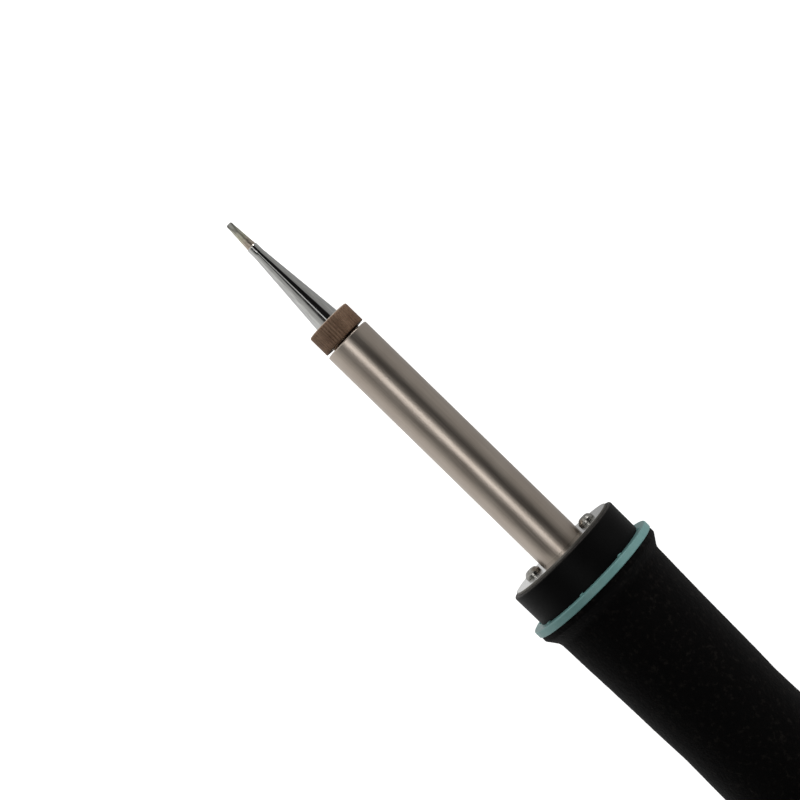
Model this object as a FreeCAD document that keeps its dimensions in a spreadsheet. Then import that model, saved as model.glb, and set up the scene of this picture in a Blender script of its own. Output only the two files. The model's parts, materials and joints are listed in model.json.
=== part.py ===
import FreeCAD, Part
import os
import re

import Sketcher

# Temperature-controlled soldering iron, lying level along X with its tip towards -X.
# The origin is under the middle of the iron, on the surface it lies on. Sizes are in mm.
# A station is a distance from the working end of the tip, measured along the iron's axis.

SIZES = [
    ("cut_past", 1.0, "how far a cut runs on beyond the piece"),
    # tip and its nut
    ("tip_end_radius", 0.78, "rounded working end"),
    ("nose_round", 0.45, "rounding of the working end's rim"),
    ("facet_length", 2.8, "length of each flat ground on the working end"),
    ("facet_edge", 0.36, "half thickness left between the flats"),
    ("facet_top", 1.0, "height at which a flat runs out"),
    ("working_length", 7.5, "tinned part of the tip"),
    ("working_radius", 1.24, "tinned part where it meets the plating"),
    ("plating_step", 0.35, "length of the step up to the plating"),
    ("cone_front_radius", 1.42, "plated part at the step"),
    ("plated_land", 2.15, "nearly straight plated part in front of the cone"),
    ("plated_land_radius", 1.44, "plated part where the cone begins"),
    ("cone_rear_radius", 3.45, "plated cone at the shoulder"),
    ("tip_reach", 32.65, "working end to the nut's front face"),
    ("shoulder_gap", 0.21, "tip's shoulder inside the nut's bore"),
    ("shoulder_thickness", 0.8, "tip's shoulder inside the nut"),
    ("shank_radius", 2.9, "tip's shank in the heater"),
    ("shank_length", 24.0, "tip's shank behind the shoulder"),
    ("sensor_step", 0.4, "slug thinner than the shank, in radius"),
    ("sensor_length", 2.5, "temperature sensing slug on the shank"),
    ("nut_radius", 6.0, "retaining nut over its knurl"),
    ("nut_length", 5.7, "retaining nut"),
    ("nut_wall", 1.1, "retaining nut's front wall"),
    ("nut_mouth", 0.2, "gap between the nut's front wall and the cone"),
    ("nut_bevel", 0.32, "bevel of the nut's rims"),
    ("knurl_count", 48, "grooves round the nut"),
    ("knurl_depth", 0.22, "depth of a groove"),
    ("knurl_width", 0.5, "width of a groove at the surface"),
    ("knurl_rise", 0.022, "groove's cutting outline beyond the surface"),
    ("nut_gap", 0.65, "gap between the nut and the barrel"),
    ("seat_gap", 0.05, "play between faces that meet when the nut is tight"),
    ("thread_radius", 4.25, "threaded neck that the nut runs on"),
    ("thread_play", 0.06, "radial play of the nut on its thread"),
    ("shank_play", 0.08, "radial play of the shank in the heater"),
    # barrel and its flange
    ("barrel_radius", 6.15, "barrel tube, outside"),
    ("barrel_wall", 0.4, "barrel tube's wall"),
    ("barrel_lip", 0.5, "barrel tube's turned-in front wall"),
    ("barrel_round", 0.25, "rounding of the barrel's front rim"),
    ("barrel_length", 70.2, "barrel in front of its flange"),
    ("barrel_tail", 2.4, "barrel's thinner tail behind its flange"),
    ("tail_step", 0.2, "tail thinner than the barrel, in radius"),
    ("plug_length", 5.0, "neck's plug inside the barrel"),
    ("plate_radius", 14.7, "flange plate"),
    ("plate_thickness", 0.55, "flange plate"),
    ("screw_gap", 0.6, "screw head beside the barrel"),
    ("screw_turn", 7.0, "angle of the screw pair about the axis, degrees"),
    ("screw_radius", 1.09, "flange screw's shank"),
    ("screw_length", 12.0, "flange screw under its head"),
    ("screw_play", 0.03, "screw's thread in its hole"),
    ("screw_tip_room", 1.0, "hole beyond the flange screw's end"),
    ("head_radius", 2.1, "flange screw's pan head"),
    ("head_height", 1.6, "flange screw's pan head"),
    ("head_round", 0.85, "rounding of a pan head"),
    ("head_corner", 0.255, "middle of a pan head's rounding, from its corner"),
    ("recess_half", 1.25, "half length of the cross recess"),
    ("recess_slot", 0.3, "half width of the cross recess"),
    ("recess_depth", 1.0, "depth of the cross recess"),
    # heater inside the barrel
    ("sleeve_wall", 0.35, "heater's inner sleeve"),
    ("sleeve_length", 44.0, "heater's inner sleeve"),
    ("sleeve_seat", 2.5, "sleeve's end inside the neck's plug"),
    ("heater_offset", 9.0, "barrel's front to the heater's insulator"),
    ("heater_length", 32.0, "insulator and winding"),
    ("insulator_wall", 0.55, "ceramic tube under the winding"),
    ("wire_radius", 0.2, "resistance wire"),
    ("wire_pitch", 1.25, "winding's turn to turn distance"),
    ("wrap_wall", 0.35, "mica wrap over the winding"),
    ("wrap_gap", 0.05, "mica wrap clear of the winding"),
    ("spacer_thickness", 2.0, "ceramic ring at each end of the heater"),
    ("lead_edge", 0.4, "heater lead to the barrel's bore"),
    ("lead_radius", 0.45, "heater lead"),
    ("lead_play", 0.1, "heater lead in its hole"),
    # thermostatic switch
    ("magnet_gap", 0.3, "sensor slug to magnet, cold"),
    ("magnet_play", 0.08, "radial play of the magnet in the switch tube"),
    ("magnet_length", 6.0, "switch magnet"),
    ("magnet_lead", 0.5, "magnet's nose in front of the switch tube"),
    ("tube_wall", 0.35, "switch tube's wall"),
    ("tube_seat", 1.2, "switch tube's end inside the housing"),
    ("rod_radius", 0.8, "switch rod"),
    ("rod_play", 0.08, "radial play of the rod in the housing"),
    ("rod_head_radius", 1.5, "rivet head on the rod"),
    ("rod_head_length", 0.8, "rivet head on the rod"),
    ("spring_radius", 1.7, "return spring, to the middle of its wire"),
    ("spring_wire", 0.2, "return spring's wire, radius"),
    ("spring_pitch", 0.95, "return spring's turn to turn distance"),
    ("spring_space", 6.0, "housing's wall to the contact bridge"),
    ("bridge_gap", 0.8, "contact bridge clear of the strips"),
    ("bridge_width", 3.4, "contact bridge"),
    ("bridge_thickness", 0.6, "contact bridge"),
    ("contact_gap", 0.05, "bridge to fixed contacts, closed"),
    ("strip_gap", 0.62, "contact strip inside the housing's wall"),
    ("strip_thickness", 0.5, "contact strip"),
    ("strip_width", 3.0, "contact strip"),
    ("foot_reach", 2.8, "contact foot in from its strip"),
    ("foot_thickness", 0.8, "contact foot"),
    ("strip_play", 0.1, "contact strip in its slot"),
    ("housing_length", 14.0, "switch housing"),
    ("housing_wall", 1.5, "switch housing's side wall"),
    ("housing_front", 2.0, "switch housing's front wall"),
    ("housing_play", 0.08, "switch housing in the handle's core"),
    ("cover_thickness", 2.0, "switch cover"),
    ("cover_spigot", 1.5, "switch cover's part inside the housing"),
    # collar, guard ring and grip
    ("collar_radius", 15.93, "front collar at its front"),
    ("collar_rear_radius", 15.84, "front collar at the guard ring"),
    ("collar_length", 8.85, "front collar"),
    ("collar_round", 0.8, "rounding of the collar's front rim"),
    ("collar_wall", 3.0, "front collar's front wall"),
    ("collar_play", 0.1, "barrel in the collar, and collar on the core"),
    ("ring_radius", 18.4, "guard ring, which the iron lies on"),
    ("ring_thickness", 1.95, "guard ring"),
    ("ring_round", 0.3, "rounding of the guard ring's rims"),
    ("tooth_count", 8, "small teeth on the ring's front face"),
    ("tooth_turn", 15.0, "first tooth from straight up, degrees"),
    ("tooth_height", 0.8, "tooth along the radius"),
    ("tooth_width", 1.0, "tooth round the ring"),
    ("tooth_depth", 0.35, "tooth along the axis"),
    ("boss_radius", 12.9, "core's boss inside collar and ring"),
    ("mouth_gap", 0.35, "core's front opening wider than the barrel, in radius"),
    ("core_front", 13.0, "core's solid front part"),
    ("core_flange_radius", 14.4, "core's flange behind the ring"),
    ("core_flange_thickness", 2.0, "core's flange behind the ring"),
    ("core_radius", 11.5, "core tube under the foam"),
    ("core_wall", 2.0, "core tube's wall"),
    ("core_spigot", 8.0, "core's end inside the rear cap"),
    ("foam_length", 85.4, "foam grip"),
    ("foam_inset", 0.3, "foam grip's lip inside the ring's edge"),
    ("foam_lip_length", 1.4, "foam grip's straight lip"),
    ("foam_flare_length", 4.3, "foam grip's front flare, from the ring"),
    ("foam_flare_radius", 16.05, "foam grip behind its flare"),
    ("foam_flare_round", 3.0, "hollow round behind the flare"),
    ("foam_waist_station", 45.0, "thinnest place, from the ring"),
    ("foam_waist_radius", 15.0, "thinnest place"),
    ("foam_rear_radius", 15.9, "foam grip at the rear cap"),
    ("foam_round", 1.2, "rounding of the foam's rear rim"),
    # terminal block
    ("block_gap", 8.0, "switch cover to terminal block"),
    ("block_length", 12.0, "terminal block"),
    ("block_top", 6.5, "terminal block's flat above the axis"),
    ("terminal_pitch", 4.4, "terminal screws, one to the next"),
    ("terminal_radius", 1.2, "terminal screw's shank"),
    ("terminal_depth", 3.4, "terminal screw's shank"),
    ("terminal_well_depth", 2.2, "well for a terminal screw's head"),
    ("terminal_head_radius", 1.6, "terminal screw's head"),
    ("terminal_head_height", 1.2, "terminal screw's head"),
    ("terminal_slot_depth", 0.6, "terminal screw's slot"),
    ("terminal_slot_width", 0.6, "terminal screw's slot"),
    ("terminal_play", 0.05, "terminal screw in its hole"),
    # rear cap
    ("cap_length", 30.0, "rear cap"),
    ("cap_inset", 2.0, "rear cap's round part inside its foot's flats"),
    ("cap_foot_length", 9.0, "rear cap's eight-sided foot"),
    ("cap_foot_start", 1.5, "foam to the eight-sided foot"),
    ("cap_foot_round", 2.0, "rounding of the foot's corners"),
    ("cap_waist_radius", 12.4, "rear cap behind its foot"),
    ("cap_waist_length", 2.5, "slope behind the foot"),
    ("cap_rear_radius", 9.6, "rear cap at its end"),
    ("cap_rear_round", 1.5, "rounding of the rear cap's end"),
    ("cap_cavity_radius", 7.8, "rear cap's inner space"),
    ("cap_rear_wall", 5.0, "rear cap's end wall"),
    ("cap_play", 0.05, "pieces fitted into the rear cap"),
    ("cap_screw_radius", 1.4, "rear cap screw"),
    ("cap_screw_head_radius", 2.6, "rear cap screw's head"),
    ("cap_screw_head_height", 1.6, "rear cap screw's head"),
    ("cap_screw_place", 5.5, "foam to the rear cap screws"),
    ("cap_screw_seat", 14.4, "screw head's seat from the axis"),
    ("cap_screw_end", 9.8, "screw's inner end from the axis"),
    ("bush_radius", 6.0, "inlet bush in the end wall"),
    ("bush_flange_radius", 7.6, "inlet bush's outer flange"),
    ("bush_flange", 1.6, "inlet bush's outer flange"),
    ("bush_round", 0.5, "rounding of the bush's flange"),
    ("inlet_radius", 3.6, "cord opening through the bush"),
]

# Stations of the pieces' front faces, as sums of the sizes above.
NUT_FRONT = "tip_reach"
SHOULDER_FRONT = f"{NUT_FRONT} + nut_wall + seat_gap"
NECK_FRONT = f"{SHOULDER_FRONT} + shoulder_thickness + seat_gap"
SHANK_END = f"{SHOULDER_FRONT} + shoulder_thickness + shank_length"
BARREL_FRONT = f"{NUT_FRONT} + nut_length + nut_gap"
PLATE_FRONT = f"{BARREL_FRONT} + barrel_length"
COLLAR_FRONT = f"{PLATE_FRONT} + plate_thickness"
CORE_FRONT = f"{COLLAR_FRONT} + collar_wall"
RING_FRONT = f"{COLLAR_FRONT} + collar_length"
FOAM_FRONT = f"{RING_FRONT} + ring_thickness"
CAP_FRONT = f"{FOAM_FRONT} + foam_length"
CAP_END = f"{CAP_FRONT} + cap_length"
OVERALL = f"{CAP_END} + bush_flange"
PLUG_FRONT = f"{BARREL_FRONT} + barrel_lip"
SLEEVE_FRONT = f"{PLUG_FRONT} + plug_length - sleeve_seat"
HEATER_FRONT = f"{BARREL_FRONT} + heater_offset"
HEATER_REAR = f"{HEATER_FRONT} + heater_length"
MAGNET_FRONT = f"{SHANK_END} + sensor_length + magnet_gap"
MAGNET_REAR = f"{MAGNET_FRONT} + magnet_length"
TUBE_FRONT = f"{MAGNET_FRONT} + magnet_lead"
HOUSING_FRONT = f"{CORE_FRONT} + core_front"
SPRING_SEAT = f"{HOUSING_FRONT} + housing_front"
BRIDGE_FRONT = f"{SPRING_SEAT} + spring_space"
FOOT_FRONT = f"{BRIDGE_FRONT} - contact_gap - foot_thickness"
COVER_FRONT = f"{HOUSING_FRONT} + housing_length"
BLOCK_FRONT = f"{COVER_FRONT} + cover_thickness + block_gap"

# Radii that follow from the sizes.
BARREL_BORE = "barrel_radius - barrel_wall"
TAIL_RADIUS = "barrel_radius - tail_step"
SHANK_BORE = "shank_radius + shank_play"
SLEEVE_RADIUS = f"{SHANK_BORE} + sleeve_wall"
INSULATOR_RADIUS = f"{SLEEVE_RADIUS} + insulator_wall"
WRAP_BORE = f"{INSULATOR_RADIUS} + 2*wire_radius + wrap_gap"
TUBE_BORE = "shank_radius - tube_wall"
MAGNET_RADIUS = f"{TUBE_BORE} - magnet_play"
SENSOR_RADIUS = "shank_radius - sensor_step"
NUT_BORE = "thread_radius + thread_play"
SHOULDER_RADIUS = f"{NUT_BORE} - shoulder_gap"
CORE_MOUTH = "barrel_radius + mouth_gap"
CORE_BORE = "core_radius - core_wall"
HOUSING_RADIUS = f"{CORE_BORE} - housing_play"
HOUSING_BORE = f"{HOUSING_RADIUS} - housing_wall"
STRIP_OUTER = f"{HOUSING_BORE} - strip_gap"
STRIP_INNER = f"{STRIP_OUTER} - strip_thickness"
FOOT_INNER = f"{STRIP_INNER} - foot_reach"
BRIDGE_HALF = f"({STRIP_INNER} - bridge_gap)"
BOSS_BORE = "boss_radius + collar_play"
SCREW_OFFSET = "(barrel_radius + screw_gap + head_radius)"
LEAD_OFFSET = f"{BARREL_BORE} - lead_edge - lead_radius"
FOAM_LIP = "ring_radius - foam_inset"
CAP_RADIUS = "ring_radius - cap_inset"
BOSS_LENGTH = "collar_length - collar_wall + ring_thickness"

# Half a side of the eight-sided foot and the distance of its corners from the axis.
FOOT_HALF = "ring_radius*(sqrt(2) - 1)"
FOOT_CORNER = "ring_radius*sqrt(4 - 2*sqrt(2))"

FULL_TURN = 360
SAME_PLACE = 1e-4

doc = FreeCAD.newDocument("soldering_iron")
sheet = doc.addObject("Spreadsheet::Sheet", "Sizes")
for row, (alias, size, note) in enumerate(SIZES, start=1):
    sheet.set(f"A{row}", alias)
    sheet.set(f"B{row}", str(size))
    sheet.set(f"C{row}", note)
    sheet.setAlias(f"B{row}", alias)
doc.recompute()

pieces = []


def bound(formula):
    """Turn a formula of size names into an expression on the sheet."""
    return re.sub(r"[a-z][a-z_]*\b(?!\()", r"Sizes.\g<0>", formula)


def value(formula):
    """Work out a formula of size names."""
    return float(sheet.evalExpression(bound(formula)))


def bind(thing, setting, formula):
    thing.setExpression(setting, bound(formula))


def place(thing, station, turn="0"):
    """Put a piece on the iron's axis with its own origin at a station."""
    angle = FreeCAD.Rotation(FreeCAD.Vector(1, 0, 0), value(turn))
    thing.Placement = FreeCAD.Placement(FreeCAD.Vector(), angle)
    bind(thing, "Placement.Base.x", f"{station} - ({OVERALL})/2")
    bind(thing, "Placement.Base.z", "ring_radius")


def new_piece(label, station, turn="0"):
    body = doc.addObject("PartDesign::Body", label)
    body.Label = label
    body.AllowCompound = True
    place(body, station, turn)
    pieces.append(body)
    return body


def new_sketch(body, name, role):
    """Start a sketch on one of the body's origin planes."""
    plane = next(feature for feature in body.Origin.OriginFeatures if feature.Role == role)
    sketch = body.newObject("Sketcher::SketchObject", name)
    sketch.AttachmentSupport = (plane, [""])
    sketch.MapMode = "FlatFace"
    return sketch


def fix_point(sketch, edge, end, across, up):
    """Hold one end of an edge at two formulas, across and up from the sketch's origin."""
    for kind, formula in (("DistanceX", across), ("DistanceY", up)):
        index = sketch.addConstraint(Sketcher.Constraint(kind, edge, end, value(formula)))
        bind(sketch, f"Constraints[{index}]", formula)


def draw_outline(sketch, corners):
    """Draw a closed outline of straight edges through corners given as formulas."""
    points = [FreeCAD.Vector(value(across), value(up), 0) for across, up in corners]
    first = sketch.GeometryCount
    count = len(corners)
    for i in range(count):
        sketch.addGeometry(Part.LineSegment(points[i], points[(i + 1) % count]))
    for i in range(count):
        following = first + (i + 1) % count
        sketch.addConstraint(Sketcher.Constraint("Coincident", first + i, 2, following, 1))
    for i, (across, up) in enumerate(corners):
        fix_point(sketch, first + i, 1, across, up)


def draw_circle(sketch, across, up, radius):
    centre = FreeCAD.Vector(value(across), value(up), 0)
    up_axis = FreeCAD.Vector(0, 0, 1)
    circle = sketch.addGeometry(Part.Circle(centre, up_axis, value(radius)))
    fix_point(sketch, circle, 3, across, up)
    index = sketch.addConstraint(Sketcher.Constraint("Radius", circle, value(radius)))
    bind(sketch, f"Constraints[{index}]", radius)


def turn_outline(body, name, corners, kind="Revolution", role="XZ_Plane", upright_at=None):
    """Revolve an outline about the axis across the sketch, or about an upright line."""
    sketch = new_sketch(body, name + "_outline", role)
    axis = "H_Axis"
    if upright_at is not None:
        foot = FreeCAD.Vector(value(upright_at), 0, 0)
        line = sketch.addGeometry(Part.LineSegment(foot, foot + FreeCAD.Vector(0, 1, 0)), True)
        fix_point(sketch, line, 1, upright_at, "0")
        fix_point(sketch, line, 2, upright_at, "1")
        axis = "Axis0"
    draw_outline(sketch, corners)
    feature = body.newObject("PartDesign::" + kind, name)
    feature.Profile = sketch
    feature.ReferenceAxis = (sketch, [axis])
    feature.Angle = FULL_TURN
    doc.recompute()
    return feature


def turn_about_side_axis(body, name, offset, corners):
    """Revolve an outline of (station, radius) pairs about a line beside the iron's axis."""
    sketch = new_sketch(body, name + "_outline", "XY_Plane")
    start = FreeCAD.Vector(0, value(offset), 0)
    line = sketch.addGeometry(Part.LineSegment(start, start + FreeCAD.Vector(1, 0, 0)), True)
    fix_point(sketch, line, 1, "0", offset)
    fix_point(sketch, line, 2, "1", offset)
    draw_outline(sketch, [(across, f"{offset} + {radius}") for across, radius in corners])
    feature = body.newObject("PartDesign::Revolution", name)
    feature.Profile = sketch
    feature.ReferenceAxis = (sketch, ["Axis0"])
    feature.Angle = FULL_TURN
    doc.recompute()
    return feature


def pad(body, sketch, name, length, reverse=False, both_ways=False):
    feature = body.newObject("PartDesign::Pad", name)
    feature.Profile = sketch
    feature.Reversed = reverse
    feature.Midplane = both_ways
    bind(feature, "Length", length)
    doc.recompute()
    return feature


def pocket(body, sketch, name, length, reverse=False, both_ways=False):
    """Cut a sketch into the body, and make sure that it took something away."""
    before = body.Shape.Volume
    feature = body.newObject("PartDesign::Pocket", name)
    feature.Profile = sketch
    feature.Reversed = reverse
    feature.Midplane = both_ways
    bind(feature, "Length", length)
    doc.recompute()
    if not feature.Shape.Volume < before:
        raise RuntimeError(f"{body.Label}: {name} cuts nothing")
    return feature


def repeat_round(body, name, originals, count):
    """Repeat features evenly round the iron's axis."""
    axis = next(item for item in body.Origin.OriginFeatures if item.Role == "X_Axis")
    pattern = body.newObject("PartDesign::PolarPattern", name)
    pattern.Originals = originals
    pattern.Axis = (axis, [""])
    pattern.Angle = FULL_TURN
    bind(pattern, "Occurrences", count)
    body.Tip = pattern
    doc.recompute()
    return pattern


def rim_names(shape, station, radius):
    """Names of the circular edges round the local X axis at a station and radius."""
    names = []
    for number, edge in enumerate(shape.Edges, start=1):
        curve = edge.Curve
        if not isinstance(curve, Part.Circle):
            continue
        on_axis = abs(curve.Center.y) + abs(curve.Center.z) < SAME_PLACE
        same_station = abs(curve.Center.x - station) < SAME_PLACE
        same_radius = abs(curve.Radius - radius) < SAME_PLACE
        if on_axis and same_station and same_radius:
            names.append(f"Edge{number}")
    return names


def round_rims(body, name, radius, rims):
    """Round circular rims given as (station, radius) formulas."""
    base = body.Tip
    names = []
    for station, rim_radius in rims:
        names += rim_names(base.Shape, value(station), value(rim_radius))
    fillet = body.newObject("PartDesign::Fillet", name)
    fillet.Base = (base, names)
    bind(fillet, "Radius", radius)
    body.Tip = fillet
    doc.recompute()
    return fillet


def tube_outline(length, inner, outer):
    return [("0", inner), ("0", outer), (length, outer), (length, inner)]


# --- tip and nut ---

def make_tip_body():
    """Plated cone with two ground flats, a shoulder held by the nut, and the shank."""
    body = new_piece("tip_body", "0")
    step_end = "working_length + plating_step"
    shoulder_rear = f"{SHOULDER_FRONT} + shoulder_thickness"
    turn_outline(body, "tip", [
        ("0", "0"),
        ("0", "tip_end_radius"),
        ("working_length", "working_radius"),
        (step_end, "cone_front_radius"),
        (f"{step_end} + plated_land", "plated_land_radius"),
        (SHOULDER_FRONT, "cone_rear_radius"),
        (SHOULDER_FRONT, SHOULDER_RADIUS),
        (shoulder_rear, SHOULDER_RADIUS),
        (shoulder_rear, "shank_radius"),
        (SHANK_END, "shank_radius"),
        (SHANK_END, "0"),
    ])
    round_rims(body, "tip_nose", "nose_round", [("0", "tip_end_radius")])
    sketch = new_sketch(body, "flats_outline", "XZ_Plane")
    for side in ("", "-"):
        draw_outline(sketch, [
            ("-cut_past", f"{side}facet_edge"),
            ("0", f"{side}facet_edge"),
            ("facet_length", f"{side}facet_top"),
            ("-cut_past", f"{side}facet_top"),
        ])
    pocket(body, sketch, "flats", "2*shank_radius", both_ways=True)


def make_tip_sensor():
    body = new_piece("tip_sensor", SHANK_END)
    turn_outline(body, "slug", [
        ("0", "0"),
        ("0", SENSOR_RADIUS),
        ("sensor_length", SENSOR_RADIUS),
        ("sensor_length", "0"),
    ])


def make_tip_nut():
    """Retaining nut: a cup whose front wall pulls the tip's shoulder back, knurled outside."""
    body = new_piece("tip_nut", NUT_FRONT)
    mouth = "cone_rear_radius + nut_mouth"
    turn_outline(body, "nut", [
        ("0", mouth),
        ("0", "nut_radius"),
        ("nut_length", "nut_radius"),
        ("nut_length", NUT_BORE),
        ("nut_wall", NUT_BORE),
        ("nut_wall", mouth),
    ])
    sketch = new_sketch(body, "knurl_outline", "YZ_Plane")
    draw_outline(sketch, [
        ("-knurl_width/2", "nut_radius + knurl_rise"),
        ("0", "nut_radius - knurl_depth"),
        ("knurl_width/2", "nut_radius + knurl_rise"),
    ])
    groove = pocket(body, sketch, "knurl_groove", "2*nut_length + cut_past", both_ways=True)
    repeat_round(body, "knurl", [groove], "knurl_count")
    turn_outline(body, "front_bevel", [
        ("-nut_bevel", "nut_radius - 2*nut_bevel"),
        ("-nut_bevel", "nut_radius + nut_bevel"),
        ("2*nut_bevel", "nut_radius + nut_bevel"),
    ], kind="Groove")
    turn_outline(body, "rear_bevel", [
        ("nut_length + nut_bevel", "nut_radius - 2*nut_bevel"),
        ("nut_length + nut_bevel", "nut_radius + nut_bevel"),
        ("nut_length - 2*nut_bevel", "nut_radius + nut_bevel"),
    ], kind="Groove")


# --- barrel and flange ---

def make_barrel_nose():
    """Threaded neck that holds tip and nut, with the plug that fixes it in the barrel."""
    body = new_piece("barrel_nose", NECK_FRONT)
    neck = f"({PLUG_FRONT}) - ({NECK_FRONT})"
    turn_outline(body, "neck", [
        ("0", SHANK_BORE),
        ("0", "thread_radius"),
        (neck, "thread_radius"),
        (neck, BARREL_BORE),
        (f"{neck} + plug_length", BARREL_BORE),
        (f"{neck} + plug_length", SLEEVE_RADIUS),
        (f"{neck} + plug_length - sleeve_seat", SLEEVE_RADIUS),
        (f"{neck} + plug_length - sleeve_seat", SHANK_BORE),
    ])


def make_barrel_tube():
    body = new_piece("barrel_tube", BARREL_FRONT)
    end = "barrel_length + plate_thickness + barrel_tail"
    turn_outline(body, "tube", [
        ("0", "thread_radius"),
        ("0", "barrel_radius"),
        ("barrel_length", "barrel_radius"),
        ("barrel_length", TAIL_RADIUS),
        (end, TAIL_RADIUS),
        (end, BARREL_BORE),
        ("barrel_lip", BARREL_BORE),
        ("barrel_lip", "thread_radius"),
    ])
    round_rims(body, "tube_rim", "barrel_round", [("0", "barrel_radius")])


def cut_screw_holes(body, radius, depth):
    """Cut the flange screws' two holes, from the piece's front face."""
    sketch = new_sketch(body, "screw_hole_outline", "YZ_Plane")
    across, up = f"{SCREW_OFFSET}*cos(screw_turn)", f"{SCREW_OFFSET}*sin(screw_turn)"
    draw_circle(sketch, across, up, radius)
    hole = pocket(body, sketch, "screw_hole", depth, reverse=True)
    repeat_round(body, "screw_holes", [hole], "2")


def make_mounting_flange():
    body = new_piece("mounting_flange", PLATE_FRONT)
    turn_outline(body, "plate", tube_outline("plate_thickness", TAIL_RADIUS, "plate_radius"))
    cut_screw_holes(body, "screw_radius + collar_play", "2*plate_thickness")


def make_flange_screws():
    """Two pan-head screws with cross recesses, through the plate into the handle's core."""
    body = new_piece("flange_screws", PLATE_FRONT, "screw_turn")
    screw = turn_about_side_axis(body, "screw", SCREW_OFFSET, [
        ("-head_height", "0"),
        ("-head_height", "head_radius - head_round"),
        ("-head_height + head_corner", "head_radius - head_corner"),
        ("-head_height + head_round", "head_radius"),
        ("0", "head_radius"),
        ("0", "screw_radius"),
        ("screw_length", "screw_radius"),
        ("screw_length", "0"),
    ])
    long_side = "recess_half"
    short_side = "recess_slot"
    quarter = [(long_side, short_side), (short_side, short_side), (short_side, long_side)]
    corners = quarter
    corners = corners + [("-" + a, b) for a, b in reversed(quarter)]
    corners = corners + [("-" + a, "-" + b) for a, b in quarter]
    corners = corners + [(a, "-" + b) for a, b in reversed(quarter)]
    sketch = new_sketch(body, "recess_outline", "YZ_Plane")
    draw_outline(sketch, [(f"{SCREW_OFFSET} + ({a})", b) for a, b in corners])
    bind(sketch, "AttachmentOffset.Base.z", "-head_height")
    recess = pocket(body, sketch, "recess", "recess_depth", reverse=True)
    repeat_round(body, "screws", [screw, recess], "2")


# --- heater inside the barrel ---

def make_heater_sleeve():
    body = new_piece("heater_sleeve", SLEEVE_FRONT)
    turn_outline(body, "sleeve", tube_outline("sleeve_length", SHANK_BORE, SLEEVE_RADIUS))


def make_heater_insulator():
    body = new_piece("heater_insulator", HEATER_FRONT)
    turn_outline(body, "insulator", tube_outline("heater_length", SLEEVE_RADIUS, INSULATOR_RADIUS))


def make_coil(label, station, radius, wire, pitch, height):
    """Sweep a round wire along a helix whose axis is then laid along the iron."""
    helix = doc.addObject("Part::Helix", label + "_path")
    bind(helix, "Radius", radius)
    bind(helix, "Pitch", pitch)
    bind(helix, "Height", height)
    section = doc.addObject("Part::Circle", label + "_section")
    section.Placement = FreeCAD.Placement(
        FreeCAD.Vector(value(radius), 0, 0), FreeCAD.Rotation(FreeCAD.Vector(1, 0, 0), 90))
    bind(section, "Radius", wire)
    bind(section, "Placement.Base.x", radius)
    coil = doc.addObject("Part::Sweep", label)
    coil.Label = label
    coil.Sections = [section]
    coil.Spine = (helix, [])
    coil.Solid = True
    coil.Frenet = True
    coil.Placement = FreeCAD.Placement(
        FreeCAD.Vector(), FreeCAD.Rotation(FreeCAD.Vector(0, 1, 0), 90))
    bind(coil, "Placement.Base.x", f"{station} - ({OVERALL})/2")
    bind(coil, "Placement.Base.z", "ring_radius")
    pieces.append(coil)


def make_heater_winding():
    make_coil(
        "heater_winding", f"{HEATER_FRONT} + 2*wire_pitch", f"{INSULATOR_RADIUS} + wire_radius",
        "wire_radius", "wire_pitch", "heater_length - 4*wire_pitch")


def make_mica_wrap():
    body = new_piece("mica_wrap", HEATER_FRONT)
    turn_outline(body, "wrap", tube_outline("heater_length", WRAP_BORE, f"{WRAP_BORE} + wrap_wall"))


def cut_lead_holes(body, station, depth):
    """Cut the heater leads' two holes, above and below the axis."""
    sketch = new_sketch(body, "lead_hole_outline", "YZ_Plane")
    bind(sketch, "AttachmentOffset.Base.z", station)
    draw_circle(sketch, "0", LEAD_OFFSET, "lead_radius + lead_play")
    hole = pocket(body, sketch, "lead_hole", depth, reverse=True)
    repeat_round(body, "lead_holes", [hole], "2")


def make_front_spacer():
    body = new_piece("front_spacer", f"{HEATER_FRONT} - spacer_thickness")
    turn_outline(body, "spacer", tube_outline("spacer_thickness", SLEEVE_RADIUS, BARREL_BORE))


def make_rear_spacer():
    body = new_piece("rear_spacer", HEATER_REAR)
    turn_outline(body, "spacer", tube_outline("spacer_thickness", SLEEVE_RADIUS, BARREL_BORE))
    cut_lead_holes(body, "0", "2*spacer_thickness")


def make_heater_leads():
    """Two straight leads from the heater to the terminal block."""
    body = new_piece("heater_leads", HEATER_REAR)
    sketch = new_sketch(body, "lead_outline", "YZ_Plane")
    draw_circle(sketch, "0", LEAD_OFFSET, "lead_radius")
    lead = pad(body, sketch, "lead", f"({BLOCK_FRONT}) - ({HEATER_REAR})")
    repeat_round(body, "leads", [lead], "2")


# --- thermostatic switch ---

def make_switch_tube():
    body = new_piece("switch_tube", TUBE_FRONT)
    length = f"({HOUSING_FRONT}) + tube_seat - ({TUBE_FRONT})"
    turn_outline(body, "tube", tube_outline(length, TUBE_BORE, "shank_radius"))


def make_switch_magnet():
    body = new_piece("switch_magnet", MAGNET_FRONT)
    turn_outline(body, "magnet", [
        ("0", "0"),
        ("0", MAGNET_RADIUS),
        ("magnet_length", MAGNET_RADIUS),
        ("magnet_length", "0"),
    ])


def make_switch_rod():
    """Push rod from the magnet to the contact bridge, with a rivet head behind the bridge."""
    body = new_piece("switch_rod", MAGNET_REAR)
    bridge_rear = f"({BRIDGE_FRONT}) + bridge_thickness - ({MAGNET_REAR})"
    turn_outline(body, "rod", [
        ("0", "0"),
        ("0", "rod_radius"),
        (bridge_rear, "rod_radius"),
        (bridge_rear, "rod_head_radius"),
        (f"{bridge_rear} + rod_head_length", "rod_head_radius"),
        (f"{bridge_rear} + rod_head_length", "0"),
    ])


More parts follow.
